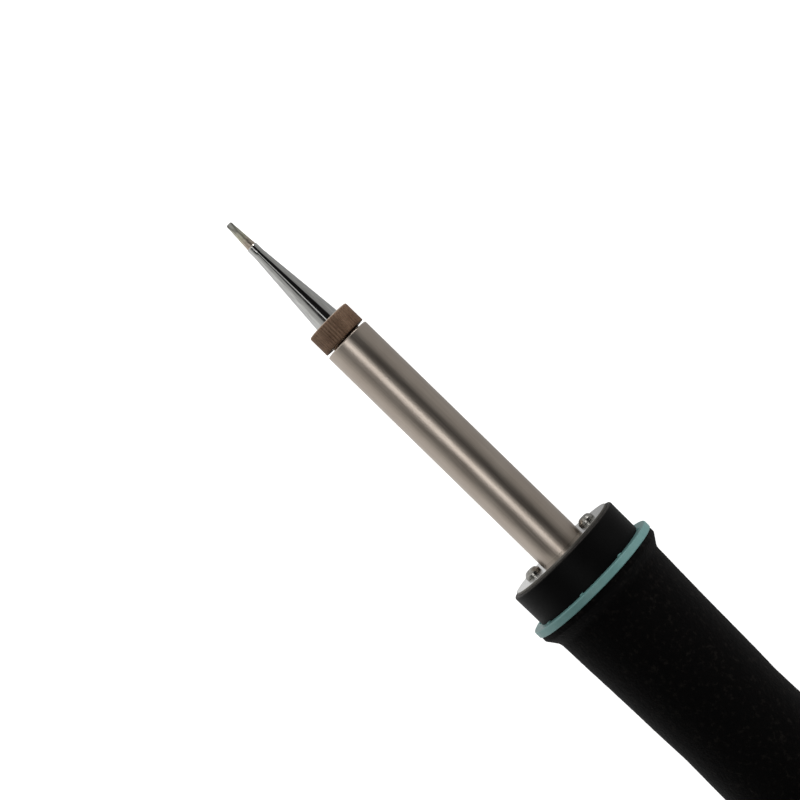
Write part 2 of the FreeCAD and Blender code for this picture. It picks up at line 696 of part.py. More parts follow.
def make_switch_spring():
    make_coil(
        "switch_spring", f"{SPRING_SEAT} + 2*spring_wire", "spring_radius",
        "spring_wire", "spring_pitch", "spring_space - 4*spring_wire")


def make_contact_bridge():
    body = new_piece("contact_bridge", BRIDGE_FRONT)
    sketch = new_sketch(body, "bridge_outline", "YZ_Plane")
    draw_outline(sketch, [
        (f"-{BRIDGE_HALF}", "-bridge_width/2"),
        (BRIDGE_HALF, "-bridge_width/2"),
        (BRIDGE_HALF, "bridge_width/2"),
        (f"-{BRIDGE_HALF}", "bridge_width/2"),
    ])
    draw_circle(sketch, "0", "0", "rod_radius")
    pad(body, sketch, "bridge", "bridge_thickness")


def make_fixed_contacts():
    """Two bent strips: a foot in front of the bridge and a tail to the terminal block."""
    body = new_piece("fixed_contacts", FOOT_FRONT)
    end = f"({BLOCK_FRONT}) - ({FOOT_FRONT})"
    sketch = new_sketch(body, "strip_outline", "XY_Plane")
    draw_outline(sketch, [
        ("0", FOOT_INNER),
        ("0", STRIP_OUTER),
        (end, STRIP_OUTER),
        (end, STRIP_INNER),
        ("foot_thickness", STRIP_INNER),
        ("foot_thickness", FOOT_INNER),
    ])
    strip = pad(body, sketch, "strip", "strip_width", both_ways=True)
    repeat_round(body, "strips", [strip], "2")


def make_switch_housing():
    body = new_piece("switch_housing", HOUSING_FRONT)
    rod_bore = "rod_radius + rod_play"
    turn_outline(body, "housing", [
        ("0", "shank_radius"),
        ("0", HOUSING_RADIUS),
        ("housing_length", HOUSING_RADIUS),
        ("housing_length", HOUSING_BORE),
        ("housing_front", HOUSING_BORE),
        ("housing_front", rod_bore),
        ("tube_seat", rod_bore),
        ("tube_seat", "shank_radius"),
    ])
    cut_lead_holes(body, "0", "housing_front + cut_past")


def make_switch_cover():
    """Rear cover of the switch housing, with a spigot and slots for leads and strips."""
    body = new_piece("switch_cover", COVER_FRONT)
    spigot_radius = f"{HOUSING_BORE} - housing_play"
    turn_outline(body, "cover", [
        ("-cover_spigot", "0"),
        ("-cover_spigot", spigot_radius),
        ("0", spigot_radius),
        ("0", HOUSING_RADIUS),
        ("cover_thickness", HOUSING_RADIUS),
        ("cover_thickness", "0"),
    ])
    cut_front, cut_length = "-2*cover_spigot", "2*cover_spigot + cover_thickness + cut_past"
    cut_lead_holes(body, cut_front, cut_length)
    sketch = new_sketch(body, "slot_outline", "YZ_Plane")
    bind(sketch, "AttachmentOffset.Base.z", cut_front)
    inner, outer = f"{STRIP_INNER} - strip_play", f"{STRIP_OUTER} + strip_play"
    half = "strip_width/2 + strip_play"
    draw_outline(sketch, [
        (inner, f"-({half})"),
        (outer, f"-({half})"),
        (outer, half),
        (inner, half),
    ])
    slot = pocket(body, sketch, "slot", cut_length, reverse=True)
    repeat_round(body, "slots", [slot], "2")


# --- collar, ring, core and foam ---

def make_front_collar():
    body = new_piece("front_collar", COLLAR_FRONT)
    bore = "barrel_radius + collar_play"
    turn_outline(body, "collar", [
        ("0", bore),
        ("0", "collar_radius"),
        ("collar_length", "collar_rear_radius"),
        ("collar_length", BOSS_BORE),
        ("collar_wall", BOSS_BORE),
        ("collar_wall", bore),
    ])
    round_rims(body, "collar_rim", "collar_round", [("0", "collar_radius")])
    cut_screw_holes(body, "screw_radius + collar_play", "collar_wall + cut_past")


def make_guard_ring():
    """Ring that keeps fingers off the hot end, with small teeth round the collar."""
    body = new_piece("guard_ring", RING_FRONT, "tooth_turn")
    turn_outline(body, "ring", tube_outline("ring_thickness", BOSS_BORE, "ring_radius"))
    round_rims(body, "ring_rims", "ring_round", [("0", "ring_radius"), ("ring_thickness", "ring_radius")])
    foot = "collar_rear_radius + collar_play"
    sketch = new_sketch(body, "tooth_outline", "YZ_Plane")
    draw_outline(sketch, [
        ("-tooth_width/2", foot),
        ("tooth_width/2", foot),
        ("tooth_width/2", f"{foot} + tooth_height"),
        ("-tooth_width/2", f"{foot} + tooth_height"),
    ])
    tooth = pad(body, sketch, "tooth", "tooth_depth", reverse=True)
    repeat_round(body, "teeth", [tooth], "tooth_count")


def make_handle_core():
    """Moulded tube under the foam: boss, flange behind the ring, and a spigot for the cap."""
    body = new_piece("handle_core", CORE_FRONT)
    end = f"{BOSS_LENGTH} + foam_length + core_spigot"
    turn_outline(body, "core", [
        ("0", CORE_MOUTH),
        ("0", "boss_radius"),
        (BOSS_LENGTH, "boss_radius"),
        (BOSS_LENGTH, "core_flange_radius"),
        (f"{BOSS_LENGTH} + core_flange_thickness", "core_flange_radius"),
        (f"{BOSS_LENGTH} + core_flange_thickness", "core_radius"),
        (end, "core_radius"),
        (end, CORE_BORE),
        ("core_front", CORE_BORE),
        ("core_front", CORE_MOUTH),
    ])
    depth = "screw_length - plate_thickness - collar_wall + screw_tip_room"
    cut_screw_holes(body, "screw_radius + screw_play", depth)
    middle = f"{BOSS_LENGTH} + foam_length + cap_screw_place"
    hole = turn_outline(body, "cap_screw_hole", [
        (middle, f"{CORE_BORE} - core_wall"),
        (f"{middle} + cap_screw_radius + screw_play", f"{CORE_BORE} - core_wall"),
        (f"{middle} + cap_screw_radius + screw_play", "core_radius + core_wall"),
        (middle, "core_radius + core_wall"),
    ], kind="Groove", role="XY_Plane", upright_at=middle)
    repeat_round(body, "cap_screw_holes", [hole], "2")


def make_foam_grip():
    body = new_piece("foam_grip", FOAM_FRONT)
    turn_outline(body, "foam", [
        ("0", "core_flange_radius"),
        ("0", FOAM_LIP),
        ("foam_lip_length", FOAM_LIP),
        ("foam_flare_length", "foam_flare_radius"),
        ("foam_waist_station", "foam_waist_radius"),
        ("foam_length", "foam_rear_radius"),
        ("foam_length", "core_radius"),
        ("core_flange_thickness", "core_radius"),
        ("core_flange_thickness", "core_flange_radius"),
    ])
    round_rims(body, "flare_hollow", "foam_flare_round", [("foam_flare_length", "foam_flare_radius")])
    round_rims(body, "rear_rim", "foam_round", [("foam_length", "foam_rear_radius")])


# --- terminal block ---

TERMINALS = ["-terminal_pitch", "0", "terminal_pitch"]
TERMINAL_FLOOR = "block_top - terminal_well_depth"


def circle_row(body, name, height, radius):
    """Sketch one circle for each terminal, level, at a height above the axis."""
    sketch = new_sketch(body, name, "XY_Plane")
    bind(sketch, "AttachmentOffset.Base.z", height)
    for side in TERMINALS:
        draw_circle(sketch, "block_length/2", side, radius)
    return sketch


def make_terminal_block():
    """Block filling the core's bore, flat on top, with a stepped hole for each screw."""
    body = new_piece("terminal_block", BLOCK_FRONT)
    turn_outline(body, "block", [
        ("0", "0"),
        ("0", HOUSING_RADIUS),
        ("block_length", HOUSING_RADIUS),
        ("block_length", "0"),
    ])
    sketch = new_sketch(body, "flat_outline", "YZ_Plane")
    draw_outline(sketch, [
        ("-core_radius", "block_top"),
        ("core_radius", "block_top"),
        ("core_radius", "core_radius"),
        ("-core_radius", "core_radius"),
    ])
    pocket(body, sketch, "flat", "2*block_length + cut_past", both_ways=True)
    sketch = circle_row(body, "well_outline", "block_top", "terminal_head_radius + terminal_play")
    pocket(body, sketch, "wells", "terminal_well_depth")
    sketch = circle_row(body, "hole_outline", TERMINAL_FLOOR, "terminal_radius + terminal_play")
    pocket(body, sketch, "holes", "terminal_depth")


def make_terminal_screws():
    body = new_piece("terminal_screws", BLOCK_FRONT)
    sketch = circle_row(body, "shank_outline", TERMINAL_FLOOR, "terminal_radius")
    pad(body, sketch, "shanks", "terminal_depth", reverse=True)
    sketch = circle_row(body, "head_outline", TERMINAL_FLOOR, "terminal_head_radius")
    pad(body, sketch, "heads", "terminal_head_height")
    sketch = new_sketch(body, "slot_outline", "XY_Plane")
    bind(sketch, "AttachmentOffset.Base.z", f"{TERMINAL_FLOOR} + terminal_head_height")
    for side in TERMINALS:
        draw_outline(sketch, [
            ("block_length/2 - 2*terminal_radius", f"{side} - terminal_slot_width/2"),
            ("block_length/2 + 2*terminal_radius", f"{side} - terminal_slot_width/2"),
            ("block_length/2 + 2*terminal_radius", f"{side} + terminal_slot_width/2"),
            ("block_length/2 - 2*terminal_radius", f"{side} + terminal_slot_width/2"),
        ])
    pocket(body, sketch, "slots", "terminal_slot_depth")


# --- rear cap ---

def make_rear_cap():
    """Cap with an eight-sided foot whose flats are as far out as the guard ring."""
    body = new_piece("rear_cap", CAP_FRONT)
    foot_end = "cap_foot_start + cap_foot_length"
    turn_outline(body, "cap", [
        ("0", "0"),
        ("0", CAP_RADIUS),
        (foot_end, CAP_RADIUS),
        (f"{foot_end} + cap_waist_length", "cap_waist_radius"),
        ("cap_length", "cap_rear_radius"),
        ("cap_length", "0"),
    ])
    round_rims(body, "cap_end_rim", "cap_rear_round", [("cap_length", "cap_rear_radius")])
    flat, half = "ring_radius", FOOT_HALF
    sketch = new_sketch(body, "foot_outline", "YZ_Plane")
    bind(sketch, "AttachmentOffset.Base.z", "cap_foot_start")
    draw_outline(sketch, [
        (flat, half), (half, flat), (f"-{half}", flat), (f"-{flat}", half),
        (f"-{flat}", f"-{half}"), (f"-{half}", f"-{flat}"), (half, f"-{flat}"), (flat, f"-{half}"),
    ])
    pad(body, sketch, "foot", "cap_foot_length")
    base = body.Tip
    names = []
    for number, edge in enumerate(base.Shape.Edges, start=1):
        ends = [FreeCAD.Vector(0, end.Point.y, end.Point.z).Length for end in edge.Vertexes]
        as_long = abs(edge.Length - value("cap_foot_length")) < SAME_PLACE
        at_corner = all(abs(reach - value(FOOT_CORNER)) < SAME_PLACE for reach in ends)
        if len(ends) == 2 and as_long and at_corner:
            names.append(f"Edge{number}")
    fillet = body.newObject("PartDesign::Fillet", "foot_corners")
    fillet.Base = (base, names)
    bind(fillet, "Radius", "cap_foot_round")
    body.Tip = fillet
    doc.recompute()
    socket = "core_radius + cap_play"
    seat = "bush_radius + cap_play"
    turn_outline(body, "inside", [
        ("0", "0"),
        ("0", socket),
        ("core_spigot", socket),
        ("core_spigot", "cap_cavity_radius"),
        ("cap_length - cap_rear_wall", "cap_cavity_radius"),
        ("cap_length - cap_rear_wall", seat),
        ("cap_length", seat),
        ("cap_length", "0"),
    ], kind="Groove")
    side = "cap_screw_place + cap_screw_radius + cap_play"
    head_side = "cap_screw_place + cap_screw_head_radius + 2*cap_play"
    hole = turn_outline(body, "cap_screw_hole", [
        ("cap_screw_place", CORE_BORE),
        (side, CORE_BORE),
        (side, "cap_screw_seat"),
        (head_side, "cap_screw_seat"),
        (head_side, "ring_radius + core_wall"),
        ("cap_screw_place", "ring_radius + core_wall"),
    ], kind="Groove", role="XY_Plane", upright_at="cap_screw_place")
    repeat_round(body, "cap_screw_holes", [hole], "2")


def make_inlet_bush():
    """Bush in the end wall that the mains cord would pass through."""
    body = new_piece("inlet_bush", f"{CAP_END} - cap_rear_wall")
    end = "cap_rear_wall + bush_flange"
    turn_outline(body, "bush", [
        ("0", "inlet_radius"),
        ("0", "bush_radius"),
        ("cap_rear_wall", "bush_radius"),
        ("cap_rear_wall", "bush_flange_radius"),
        (end, "bush_flange_radius"),
        (end, "inlet_radius"),
    ])
    round_rims(body, "bush_rim", "bush_round", [(end, "bush_flange_radius")])


def make_cap_screws():
    """Two screws across the cap into the core's spigot, heads sunk in the foot's side flats."""
    body = new_piece("cap_screws", CAP_FRONT)
    top = "cap_screw_seat + cap_screw_head_height"
    shank_side = "cap_screw_place + cap_screw_radius"
    head_side = "cap_screw_place + cap_screw_head_radius"
    screw = turn_outline(body, "screw", [
        ("cap_screw_place", "cap_screw_end"),
        (shank_side, "cap_screw_end"),
        (shank_side, "cap_screw_seat"),
        (head_side, "cap_screw_seat"),
        (head_side, top),
        ("cap_screw_place", top),
    ], role="XY_Plane", upright_at="cap_screw_place")
    repeat_round(body, "screws", [screw], "2")


makers = [
    make_tip_body,
    make_tip_sensor,
    make_tip_nut,
    make_barrel_nose,
    make_barrel_tube,
    make_mounting_flange,
    make_flange_screws,
    make_heater_sleeve,
    make_heater_insulator,
    make_heater_winding,
    make_mica_wrap,
    make_front_spacer,
    make_rear_spacer,
    make_heater_leads,
    make_switch_tube,
    make_switch_magnet,
    make_switch_rod,
    make_switch_spring,
    make_contact_bridge,
    make_fixed_contacts,
    make_switch_housing,
    make_switch_cover,
    make_front_collar,
    make_guard_ring,
    make_handle_core,
    make_foam_grip,
    make_terminal_block,
    make_terminal_screws,
    make_rear_cap,
    make_inlet_bush,
    make_cap_screws,
]
for make in makers:
    make()
doc.recompute()

os.makedirs("parts", exist_ok=True)
for item in doc.Objects:
    if "Invalid" in item.State or "Error" in item.State:
        raise RuntimeError(f"{item.Label} failed: {item.State}")
for piece in pieces:
    if piece.Shape.isNull() or not piece.Shape.isValid():
        raise RuntimeError(f"{piece.Label} has no sound shape")
for piece in pieces:
    piece.Shape.exportStep(f"parts/{piece.Label}.step")
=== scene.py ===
import json
import math
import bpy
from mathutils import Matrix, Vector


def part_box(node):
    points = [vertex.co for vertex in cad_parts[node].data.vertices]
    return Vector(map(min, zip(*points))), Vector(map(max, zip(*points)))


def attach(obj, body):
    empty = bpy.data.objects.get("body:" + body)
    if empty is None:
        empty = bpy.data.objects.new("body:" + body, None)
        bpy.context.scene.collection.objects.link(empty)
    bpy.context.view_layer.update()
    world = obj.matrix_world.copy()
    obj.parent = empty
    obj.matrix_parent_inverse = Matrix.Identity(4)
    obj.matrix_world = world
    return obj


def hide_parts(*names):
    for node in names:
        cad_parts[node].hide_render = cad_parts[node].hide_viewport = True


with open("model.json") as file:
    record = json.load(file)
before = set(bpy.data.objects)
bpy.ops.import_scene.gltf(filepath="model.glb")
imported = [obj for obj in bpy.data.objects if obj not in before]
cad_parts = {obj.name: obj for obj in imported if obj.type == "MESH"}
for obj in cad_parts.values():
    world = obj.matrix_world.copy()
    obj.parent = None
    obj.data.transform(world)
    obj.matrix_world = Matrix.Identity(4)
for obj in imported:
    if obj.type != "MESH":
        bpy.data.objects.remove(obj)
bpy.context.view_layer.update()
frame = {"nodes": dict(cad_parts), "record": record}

from types import SimpleNamespace

import bmesh
import bpy
from mathutils import Matrix, Vector, noise

# A temperature-controlled soldering iron, lying level along X with its tip towards -X.
# Lengths in the dictionaries are in millimetres, angles in degrees.

mm = 0.001
barrelLow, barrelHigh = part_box("barrel_tube")
axisY = (barrelLow[1] + barrelHigh[1]) / 2
axisZ = (barrelLow[2] + barrelHigh[2]) / 2


def front(nodeName):
    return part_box(nodeName)[0][0]


def rear(nodeName):
    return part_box(nodeName)[1][0]


def lengthOf(nodeName):
    return (rear(nodeName) - front(nodeName)) / mm


def radiusOf(nodeName):
    low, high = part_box(nodeName)
    return (high[2] - low[2]) / 2 / mm


slight = 0.01                    # mm, for telling an outline's own points from the next ones


camera = {
    "lens": 91.1,
    "distance": 476.5,
    "aimBehindTip": 56.47,      # point of the axis that the view is hung on
    "aimAbove": 2.0,            # how far that point stands above the middle of the view
    "lean": 0.7,                # handle end a little nearer
    "roll": 44.3,
}

lean, roll = math.radians(camera["lean"]), math.radians(camera["roll"])
along = Vector((math.cos(lean), 0, -math.sin(lean)))
back = Vector((math.sin(lean), 0, math.cos(lean)))
side = Vector((0, 1, 0))
right = along * math.cos(roll) + side * math.sin(roll)
up = side * math.cos(roll) - along * math.sin(roll)
aim = Vector((front("tip_body") + camera["aimBehindTip"] * mm, axisY, axisZ))
stand = aim + back * camera["distance"] * mm - up * camera["aimAbove"] * mm
cameraData = bpy.data.cameras.new("camera")
cameraData.lens = camera["lens"]
cameraData.clip_start, cameraData.clip_end = 0.01, 20
cameraObject = bpy.data.objects.new("camera", cameraData)
bpy.context.scene.collection.objects.link(cameraObject)
cameraObject.matrix_world = Matrix((
    (right.x, up.x, back.x, stand.x),
    (right.y, up.y, back.y, stand.y),
    (right.z, up.z, back.z, stand.z),
    (0, 0, 0, 1),
))
bpy.context.scene.camera = cameraObject
print("camera set")


def hexColour(text):
    # sRGB hex to linear
    out = []
    for i in (1, 3, 5):
        c = int(text[i:i + 2], 16) / 255
        out.append(c / 12.92 if c <= 0.04045 else ((c + 0.055) / 1.055) ** 2.4)
    return (*out, 1)


def perMetre(size):
    # texture scale that gives features about this many mm apart
    return 1000 / size


def firstOutput(source):
    if isinstance(source, bpy.types.Node):
        return next(socket for socket in source.outputs if socket.enabled)
    return source


def addNode(tree, kind, values=None, links=None, stops=None, **settings):
    # sockets go by name or number, and a node given as a link stands for its first output
    made = tree.nodes.new(kind)
    for key, setting in settings.items():
        setattr(made, key, setting)

    def socketOf(key):
        if isinstance(key, int):
            return made.inputs[key]
        return next(socket for socket in made.inputs if socket.name == key and socket.enabled)

    for key, value in (values or {}).items():
        socketOf(key).default_value = value
    for key, source in (links or {}).items():
        tree.links.new(firstOutput(source), socketOf(key))
    for i, (at, colour) in enumerate(stops or ()):
        elements = made.color_ramp.elements
        if i == 0:
            elements.remove(elements[1])
        stop = elements[0] if i == 0 else elements.new(at)
        stop.position = at
        stop.color = hexColour(colour)
    return made


def feed(finish, socket, source):
    finish.tree.links.new(firstOutput(source), finish.shader.inputs[socket])


usualNoise = 0.55                # how rough the noise is
noiseLow, noiseHigh = 0.3, 0.7   # the noise seldom leaves this range
shaderSockets = {
    "roughness": "Roughness", "metallic": "Metallic", "ior": "IOR",
    "specular": "Specular IOR Level", "sheen": "Sheen Weight",
}


def newMaterial(name, look):
    # the colour drifts in patches, and gloss and bump follow a finer grain; all sizes in mm
    material = bpy.data.materials.new(name)
    material.use_nodes = True
    tree = material.node_tree
    shader = tree.nodes["Principled BSDF"]
    material.diffuse_color = hexColour(look["colour"])
    shader.inputs["Base Color"].default_value = hexColour(look["colour"])
    for key, socket in shaderSockets.items():
        if key in look:
            shader.inputs[socket].default_value = look[key]
    place = addNode(tree, "ShaderNodeTexCoord").outputs["Object"]
    finish = SimpleNamespace(material=material, tree=tree, shader=shader, place=place)
    if "patch" in look:
        finish.patch = addNode(tree, "ShaderNodeTexNoise", {
            "Scale": perMetre(look["patch"]), "Detail": look.get("patchDetail", 3),
            "Roughness": look.get("patchNoise", usualNoise),
        }, {"Vector": place})
        finish.tones = addNode(tree, "ShaderNodeValToRGB", None, {"Fac": finish.patch}, look["tones"])
        feed(finish, "Base Color", finish.tones)
    if "grain" in look:
        where = place
        if "drawn" in look:      # drawn out along one axis
            where = addNode(tree, "ShaderNodeMapping", {"Scale": look["drawn"]}, {"Vector": place})
        finish.grain = addNode(tree, "ShaderNodeTexNoise", {
            "Scale": perMetre(look["grain"]), "Detail": look.get("grainDetail", 3),
            "Roughness": usualNoise,
        }, {"Vector": where})
        finish.gloss = addNode(tree, "ShaderNodeMapRange", {
            "From Min": noiseLow, "From Max": noiseHigh,
            "To Min": look["gloss"][0], "To Max": look["gloss"][1],
        }, {"Value": finish.grain})
        feed(finish, "Roughness", finish.gloss)
    if "depth" in look:
        feed(finish, "Normal", addNode(tree, "ShaderNodeBump", {
            "Distance": look["depth"] * mm, "Strength": look["bump"],
        }, {"Height": finish.grain}))
    return finish


nearlyHalf = 0.49                # the most of a side that one corner's curve may take


def softOutline(corners, closed=False, steps=6):
    # corners are (along, out) or (along, out, round); the rounds become short curves
    line = []
    count = len(corners)
    for i, corner in enumerate(corners):
        here = Vector(corner[:2])
        bend = corner[2] if len(corner) > 2 else 0
        if not bend or (not closed and i in (0, count - 1)):
            line.append(here)
            continue
        before = Vector(corners[i - 1][:2]) - here
        after = Vector(corners[(i + 1) % count][:2]) - here
        half = before.angle(after) / 2
        cut = min(bend / math.tan(half), before.length * nearlyHalf, after.length * nearlyHalf)
        first, last = here + before.normalized() * cut, here + after.normalized() * cut
        for k in range(steps + 1):
            t = k / steps
            line.append(first * (1 - t) ** 2 + here * 2 * t * (1 - t) + last * t ** 2)
    return line


def densified(line, step, closed=False):
    out = []
    count = len(line)
    for i, here in enumerate(line):
        out.append(here)
        if i == count - 1 and not closed:
            break
        there = line[(i + 1) % count]
        parts = max(1, round((there - here).length / step))
        out += [here.lerp(there, k / parts) for k in range(1, parts)]
    return out


samePlace = 1e-7                 # metres; closer points are joined


def skinRings(bm, rings, closed=False):
    # faces between each ring of points and the next
    pairs = list(zip(rings, rings[1:]))
    if closed:
        pairs.append((rings[-1], rings[0]))
    for one, two in pairs:
        for k in range(len(one)):
            j = (k + 1) % len(one)
            bm.faces.new((one[k], two[k], two[j], one[j]))
    bmesh.ops.remove_doubles(bm, verts=bm.verts, dist=samePlace)
    bmesh.ops.recalc_face_normals(bm, faces=bm.faces)


usualSharp = 40                  # degrees; a sharper edge isn't smoothed


def turned(name, startX, line, turns=160, closed=True, reshape=None, body="iron", node=None,
           material=None, sharpAngle=usualSharp, mark=None):
    # turn an outline of (along, out) points in mm about the iron's axis; mark gives each point a grey
    bm = bmesh.new()
    marks = bm.verts.layers.float.new("mark") if mark else None
    rings = []
    for point in line:
        ring = []
        for k in range(turns):
            angle = math.tau * k / turns
            out = reshape(point[0], point[1], angle) if reshape else point[1]
            vert = bm.verts.new((
                startX + point[0] * mm,
                axisY + out * mm * math.cos(angle),
                axisZ + out * mm * math.sin(angle),
            ))
            if mark:
                vert[marks] = mark(point[0], point[1], angle)
            ring.append(vert)
        rings.append(ring)
    skinRings(bm, rings, closed)
    piece = finished(name, bm, material, sharpAngle)
    if node:
        settle(piece, body, node)
    return piece


def finished(name, bm, material=None, sharpAngle=usualSharp):
    mesh = bpy.data.meshes.new(name)
    bm.to_mesh(mesh)
    bm.free()
    mesh.polygons.foreach_set("use_smooth", [True] * len(mesh.polygons))
    mesh.set_sharp_from_angle(angle=math.radians(sharpAngle))
    piece = bpy.data.objects.new(name, mesh)
    bpy.context.scene.collection.objects.link(piece)
    if material:
        mesh.materials.append(material)
    return piece


def settle(piece, body, node):
    weigh = piece.modifiers.new("evenShading", "WEIGHTED_NORMAL")
    weigh.keep_sharp = True
    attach(piece, body)
    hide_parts(node)


def cutAway(piece, cutters):
    # take the cutters' shapes out of the piece and keep only the result
    for cutter in cutters:
        cut = piece.modifiers.new("cut", "BOOLEAN")
        cut.operation = "DIFFERENCE"
        cut.object = cutter
        cut.solver = "EXACT"
    bpy.context.view_layer.update()
    depsgraph = bpy.context.evaluated_depsgraph_get()
    result = bpy.data.meshes.new_from_object(piece.evaluated_get(depsgraph))
    old = piece.data
    piece.modifiers.clear()
    piece.data = result
    result.name = piece.name
    result.set_sharp_from_angle(angle=math.radians(usualSharp))
    bpy.data.meshes.remove(old)
    for cutter in cutters:
        used = cutter.data
        bpy.data.objects.remove(cutter)
        bpy.data.meshes.remove(used)


tip = {
    "facetLength": 2.8, "facetEdge": 0.36, "facetTop": 1.0,
    "endRadius": 0.78, "endRound": 0.5,
    "tinnedLength": 7.5, "tinnedRadius": 1.24,
    "stepLength": 0.35, "coneFront": 1.42, "landLength": 2.15, "landRadius": 1.44, "coneRear": 3.45,
    "shoulderFront": 33.8, "shoulderRadius": 4.1, "shoulderThickness": 0.8,
    "shankRadius": 2.9,
    "lump": 0.035,               # solder left on the tinned end
    "lumpSize": 1.1, "lumpRound": 1.2,
    "tinEnd": 7.75, "chromeStart": 8.1,
    "wander": 0.6, "wanderSize": 1.2,        # how the tinning's edge strays
    "mottle": 0.7, "mottleShare": 0.5, "grit": 0.5, "gritDepth": 0.05, "gritBump": 0.6,
    "streak": 0.35, "streakDrawn": (0.08, 1, 1),
    "chromeGloss": (0.05, 0.12), "tinGloss": (0.32, 0.5),
    "heatTones": [
        (0.0, "#D2D2CC"), (0.3, "#CBC9BC"), (0.55, "#CFCBB6"), (0.8, "#C9BCAE"), (1.0, "#C6B5A6"),
    ],
    # colour of the painted shade along the flats' edges
    "flatEdgeShade": "#4A4942",
    "edgeWidth": 0.14, "markLength": 3.8,    # painted shade along the flats' edges
    "chrome": {"colour": "#C2C2C0", "metallic": 1, "roughness": 0.07},
}

# Chrome-plated copper, its end tinned: mirror-bright cone, dull lumpy solder at the end and a
# faint pink and olive bloom where the heat has worked on it.
chromed = newMaterial("chromedTipTinnedEnd", tip["chrome"])
tree, place = chromed.tree, chromed.place
tipStart = front("tip_body")
tinEnd, chromeStart = (tipStart + tip[key] * mm for key in ("tinEnd", "chromeStart"))
lengthwise = addNode(tree, "ShaderNodeSeparateXYZ", None, {"Vector": place}).outputs["X"]
wander = addNode(tree, "ShaderNodeTexNoise", {
    "Scale": perMetre(tip["wanderSize"]), "Detail": 2, "Roughness": usualNoise,
}, {"Vector": place})
strayed = addNode(tree, "ShaderNodeMath", {1: tip["wander"] * mm}, {0: wander, 2: lengthwise},
                  operation="MULTIPLY_ADD")
tinned = addNode(tree, "ShaderNodeMapRange", {
    "From Min": tinEnd, "From Max": chromeStart, "To Min": 1.0, "To Max": 0.0,
}, {"Value": strayed})
bloom = addNode(tree, "ShaderNodeMapRange", {"From Min": tipStart, "From Max": chromeStart},
                {"Value": lengthwise})
heated = addNode(tree, "ShaderNodeValToRGB", None, {"Fac": bloom}, tip["heatTones"])
mottle = addNode(tree, "ShaderNodeTexNoise", {
    "Scale": perMetre(tip["mottle"]), "Detail": 3, "Roughness": usualNoise,
}, {"Vector": place})
mottleTone = addNode(tree, "ShaderNodeValToRGB", None, {"Fac": mottle},
                     [(noiseLow, "#A8A8A4"), (noiseHigh, "#FFFFFF")])
tin = addNode(tree, "ShaderNodeMix", {"Factor": tip["mottleShare"]}, {"A": heated, "B": mottleTone},
              data_type="RGBA", blend_type="MULTIPLY")
alongTip = addNode(tree, "ShaderNodeMapping", {"Scale": tip["streakDrawn"]}, {"Vector": place})
streak = addNode(tree, "ShaderNodeTexNoise", {
    "Scale": perMetre(tip["streak"]), "Detail": 2, "Roughness": usualNoise,
}, {"Vector": alongTip})
chromeTone = addNode(tree, "ShaderNodeValToRGB", None, {"Fac": streak},
                     [(noiseLow, "#B4B4B2"), (noiseHigh, "#CBCBC9")])
# painted shade: the flats' edges are darkened in colour where the surface turns
flatEdge = addNode(tree, "ShaderNodeAttribute", attribute_name="mark").outputs["Fac"]
flatEdgeShade = addNode(tree, "ShaderNodeMix", {"B": hexColour(tip["flatEdgeShade"])}, {"Factor": flatEdge, "A": tin},
                data_type="RGBA")
feed(chromed, "Base Color", addNode(
    tree, "ShaderNodeMix", None, {"Factor": tinned, "A": chromeTone, "B": flatEdgeShade}, data_type="RGBA"))
chromeGloss, tinGloss = (addNode(tree, "ShaderNodeMapRange", {
    "From Min": noiseLow, "From Max": noiseHigh, "To Min": low, "To Max": high,
}, {"Value": source}) for source, (low, high) in ((streak, tip["chromeGloss"]), (mottle, tip["tinGloss"])))
feed(chromed, "Roughness", addNode(
    tree, "ShaderNodeMix", None, {"Factor": tinned, "A": chromeGloss, "B": tinGloss}, data_type="FLOAT"))
grit = addNode(tree, "ShaderNodeTexNoise", {
    "Scale": perMetre(tip["grit"]), "Detail": 2, "Roughness": usualNoise,
}, {"Vector": place})
gritHeight = addNode(tree, "ShaderNodeMath", None, {0: grit, 1: tinned}, operation="MULTIPLY")
feed(chromed, "Normal", addNode(tree, "ShaderNodeBump", {
    "Distance": tip["gritDepth"] * mm, "Strength": tip["gritBump"],
}, {"Height": gritHeight}))


def flatLimit(x):
    # how far the flats stand from the axis
    return tip["facetEdge"] + (tip["facetTop"] - tip["facetEdge"]) * x / tip["facetLength"]


def shapeTip(x, out, angle):
    # two ground flats at the end, facing up and down, and the solder's low lumps
    if x < tip["tinnedLength"] and out > 0:
        wide = tip["lumpRound"]
        lump = noise.noise(Vector((
            x * tip["lumpSize"], math.cos(angle) * wide, math.sin(angle) * wide)))
        out *= 1 + tip["lump"] * lump
    if x < tip["facetLength"]:
        height = abs(out * math.sin(angle))
        if height > flatLimit(x):
            out *= flatLimit(x) / height
    return out


# painted shade: how strongly each point near the flats' edges is darkened
def markFlats(x, out, angle):
    if x > tip["facetLength"] + tip["edgeWidth"]:
        return 0
    fade = max(0, 1 - x / tip["markLength"])
    return fade * math.exp(-((abs(out * math.sin(angle)) - flatLimit(x)) / tip["edgeWidth"]) ** 2)


tipLength = lengthOf("tip_body")
coneStart = tip["tinnedLength"] + tip["stepLength"]
shoulderRear = tip["shoulderFront"] + tip["shoulderThickness"]
tipLine = softOutline([
    (0, 0),
    (0, tip["endRadius"], tip["endRound"]),
    (tip["tinnedLength"], tip["tinnedRadius"], 0.1),
    (coneStart, tip["coneFront"], 0.12),
    (coneStart + tip["landLength"], tip["landRadius"], 8),
    (tip["shoulderFront"], tip["coneRear"]),
    (tip["shoulderFront"], tip["shoulderRadius"], 0.1),
    (shoulderRear, tip["shoulderRadius"], 0.1),
    (shoulderRear, tip["shankRadius"]),
    (tipLength, tip["shankRadius"], 0.2),
    (tipLength, 0),
])
turned("tipCone", tipStart, densified(tipLine, 0.16), turns=120, closed=False, reshape=shapeTip,
       body="tip", node="tip_body", material=chromed.material, mark=markFlats)
print("tip made")


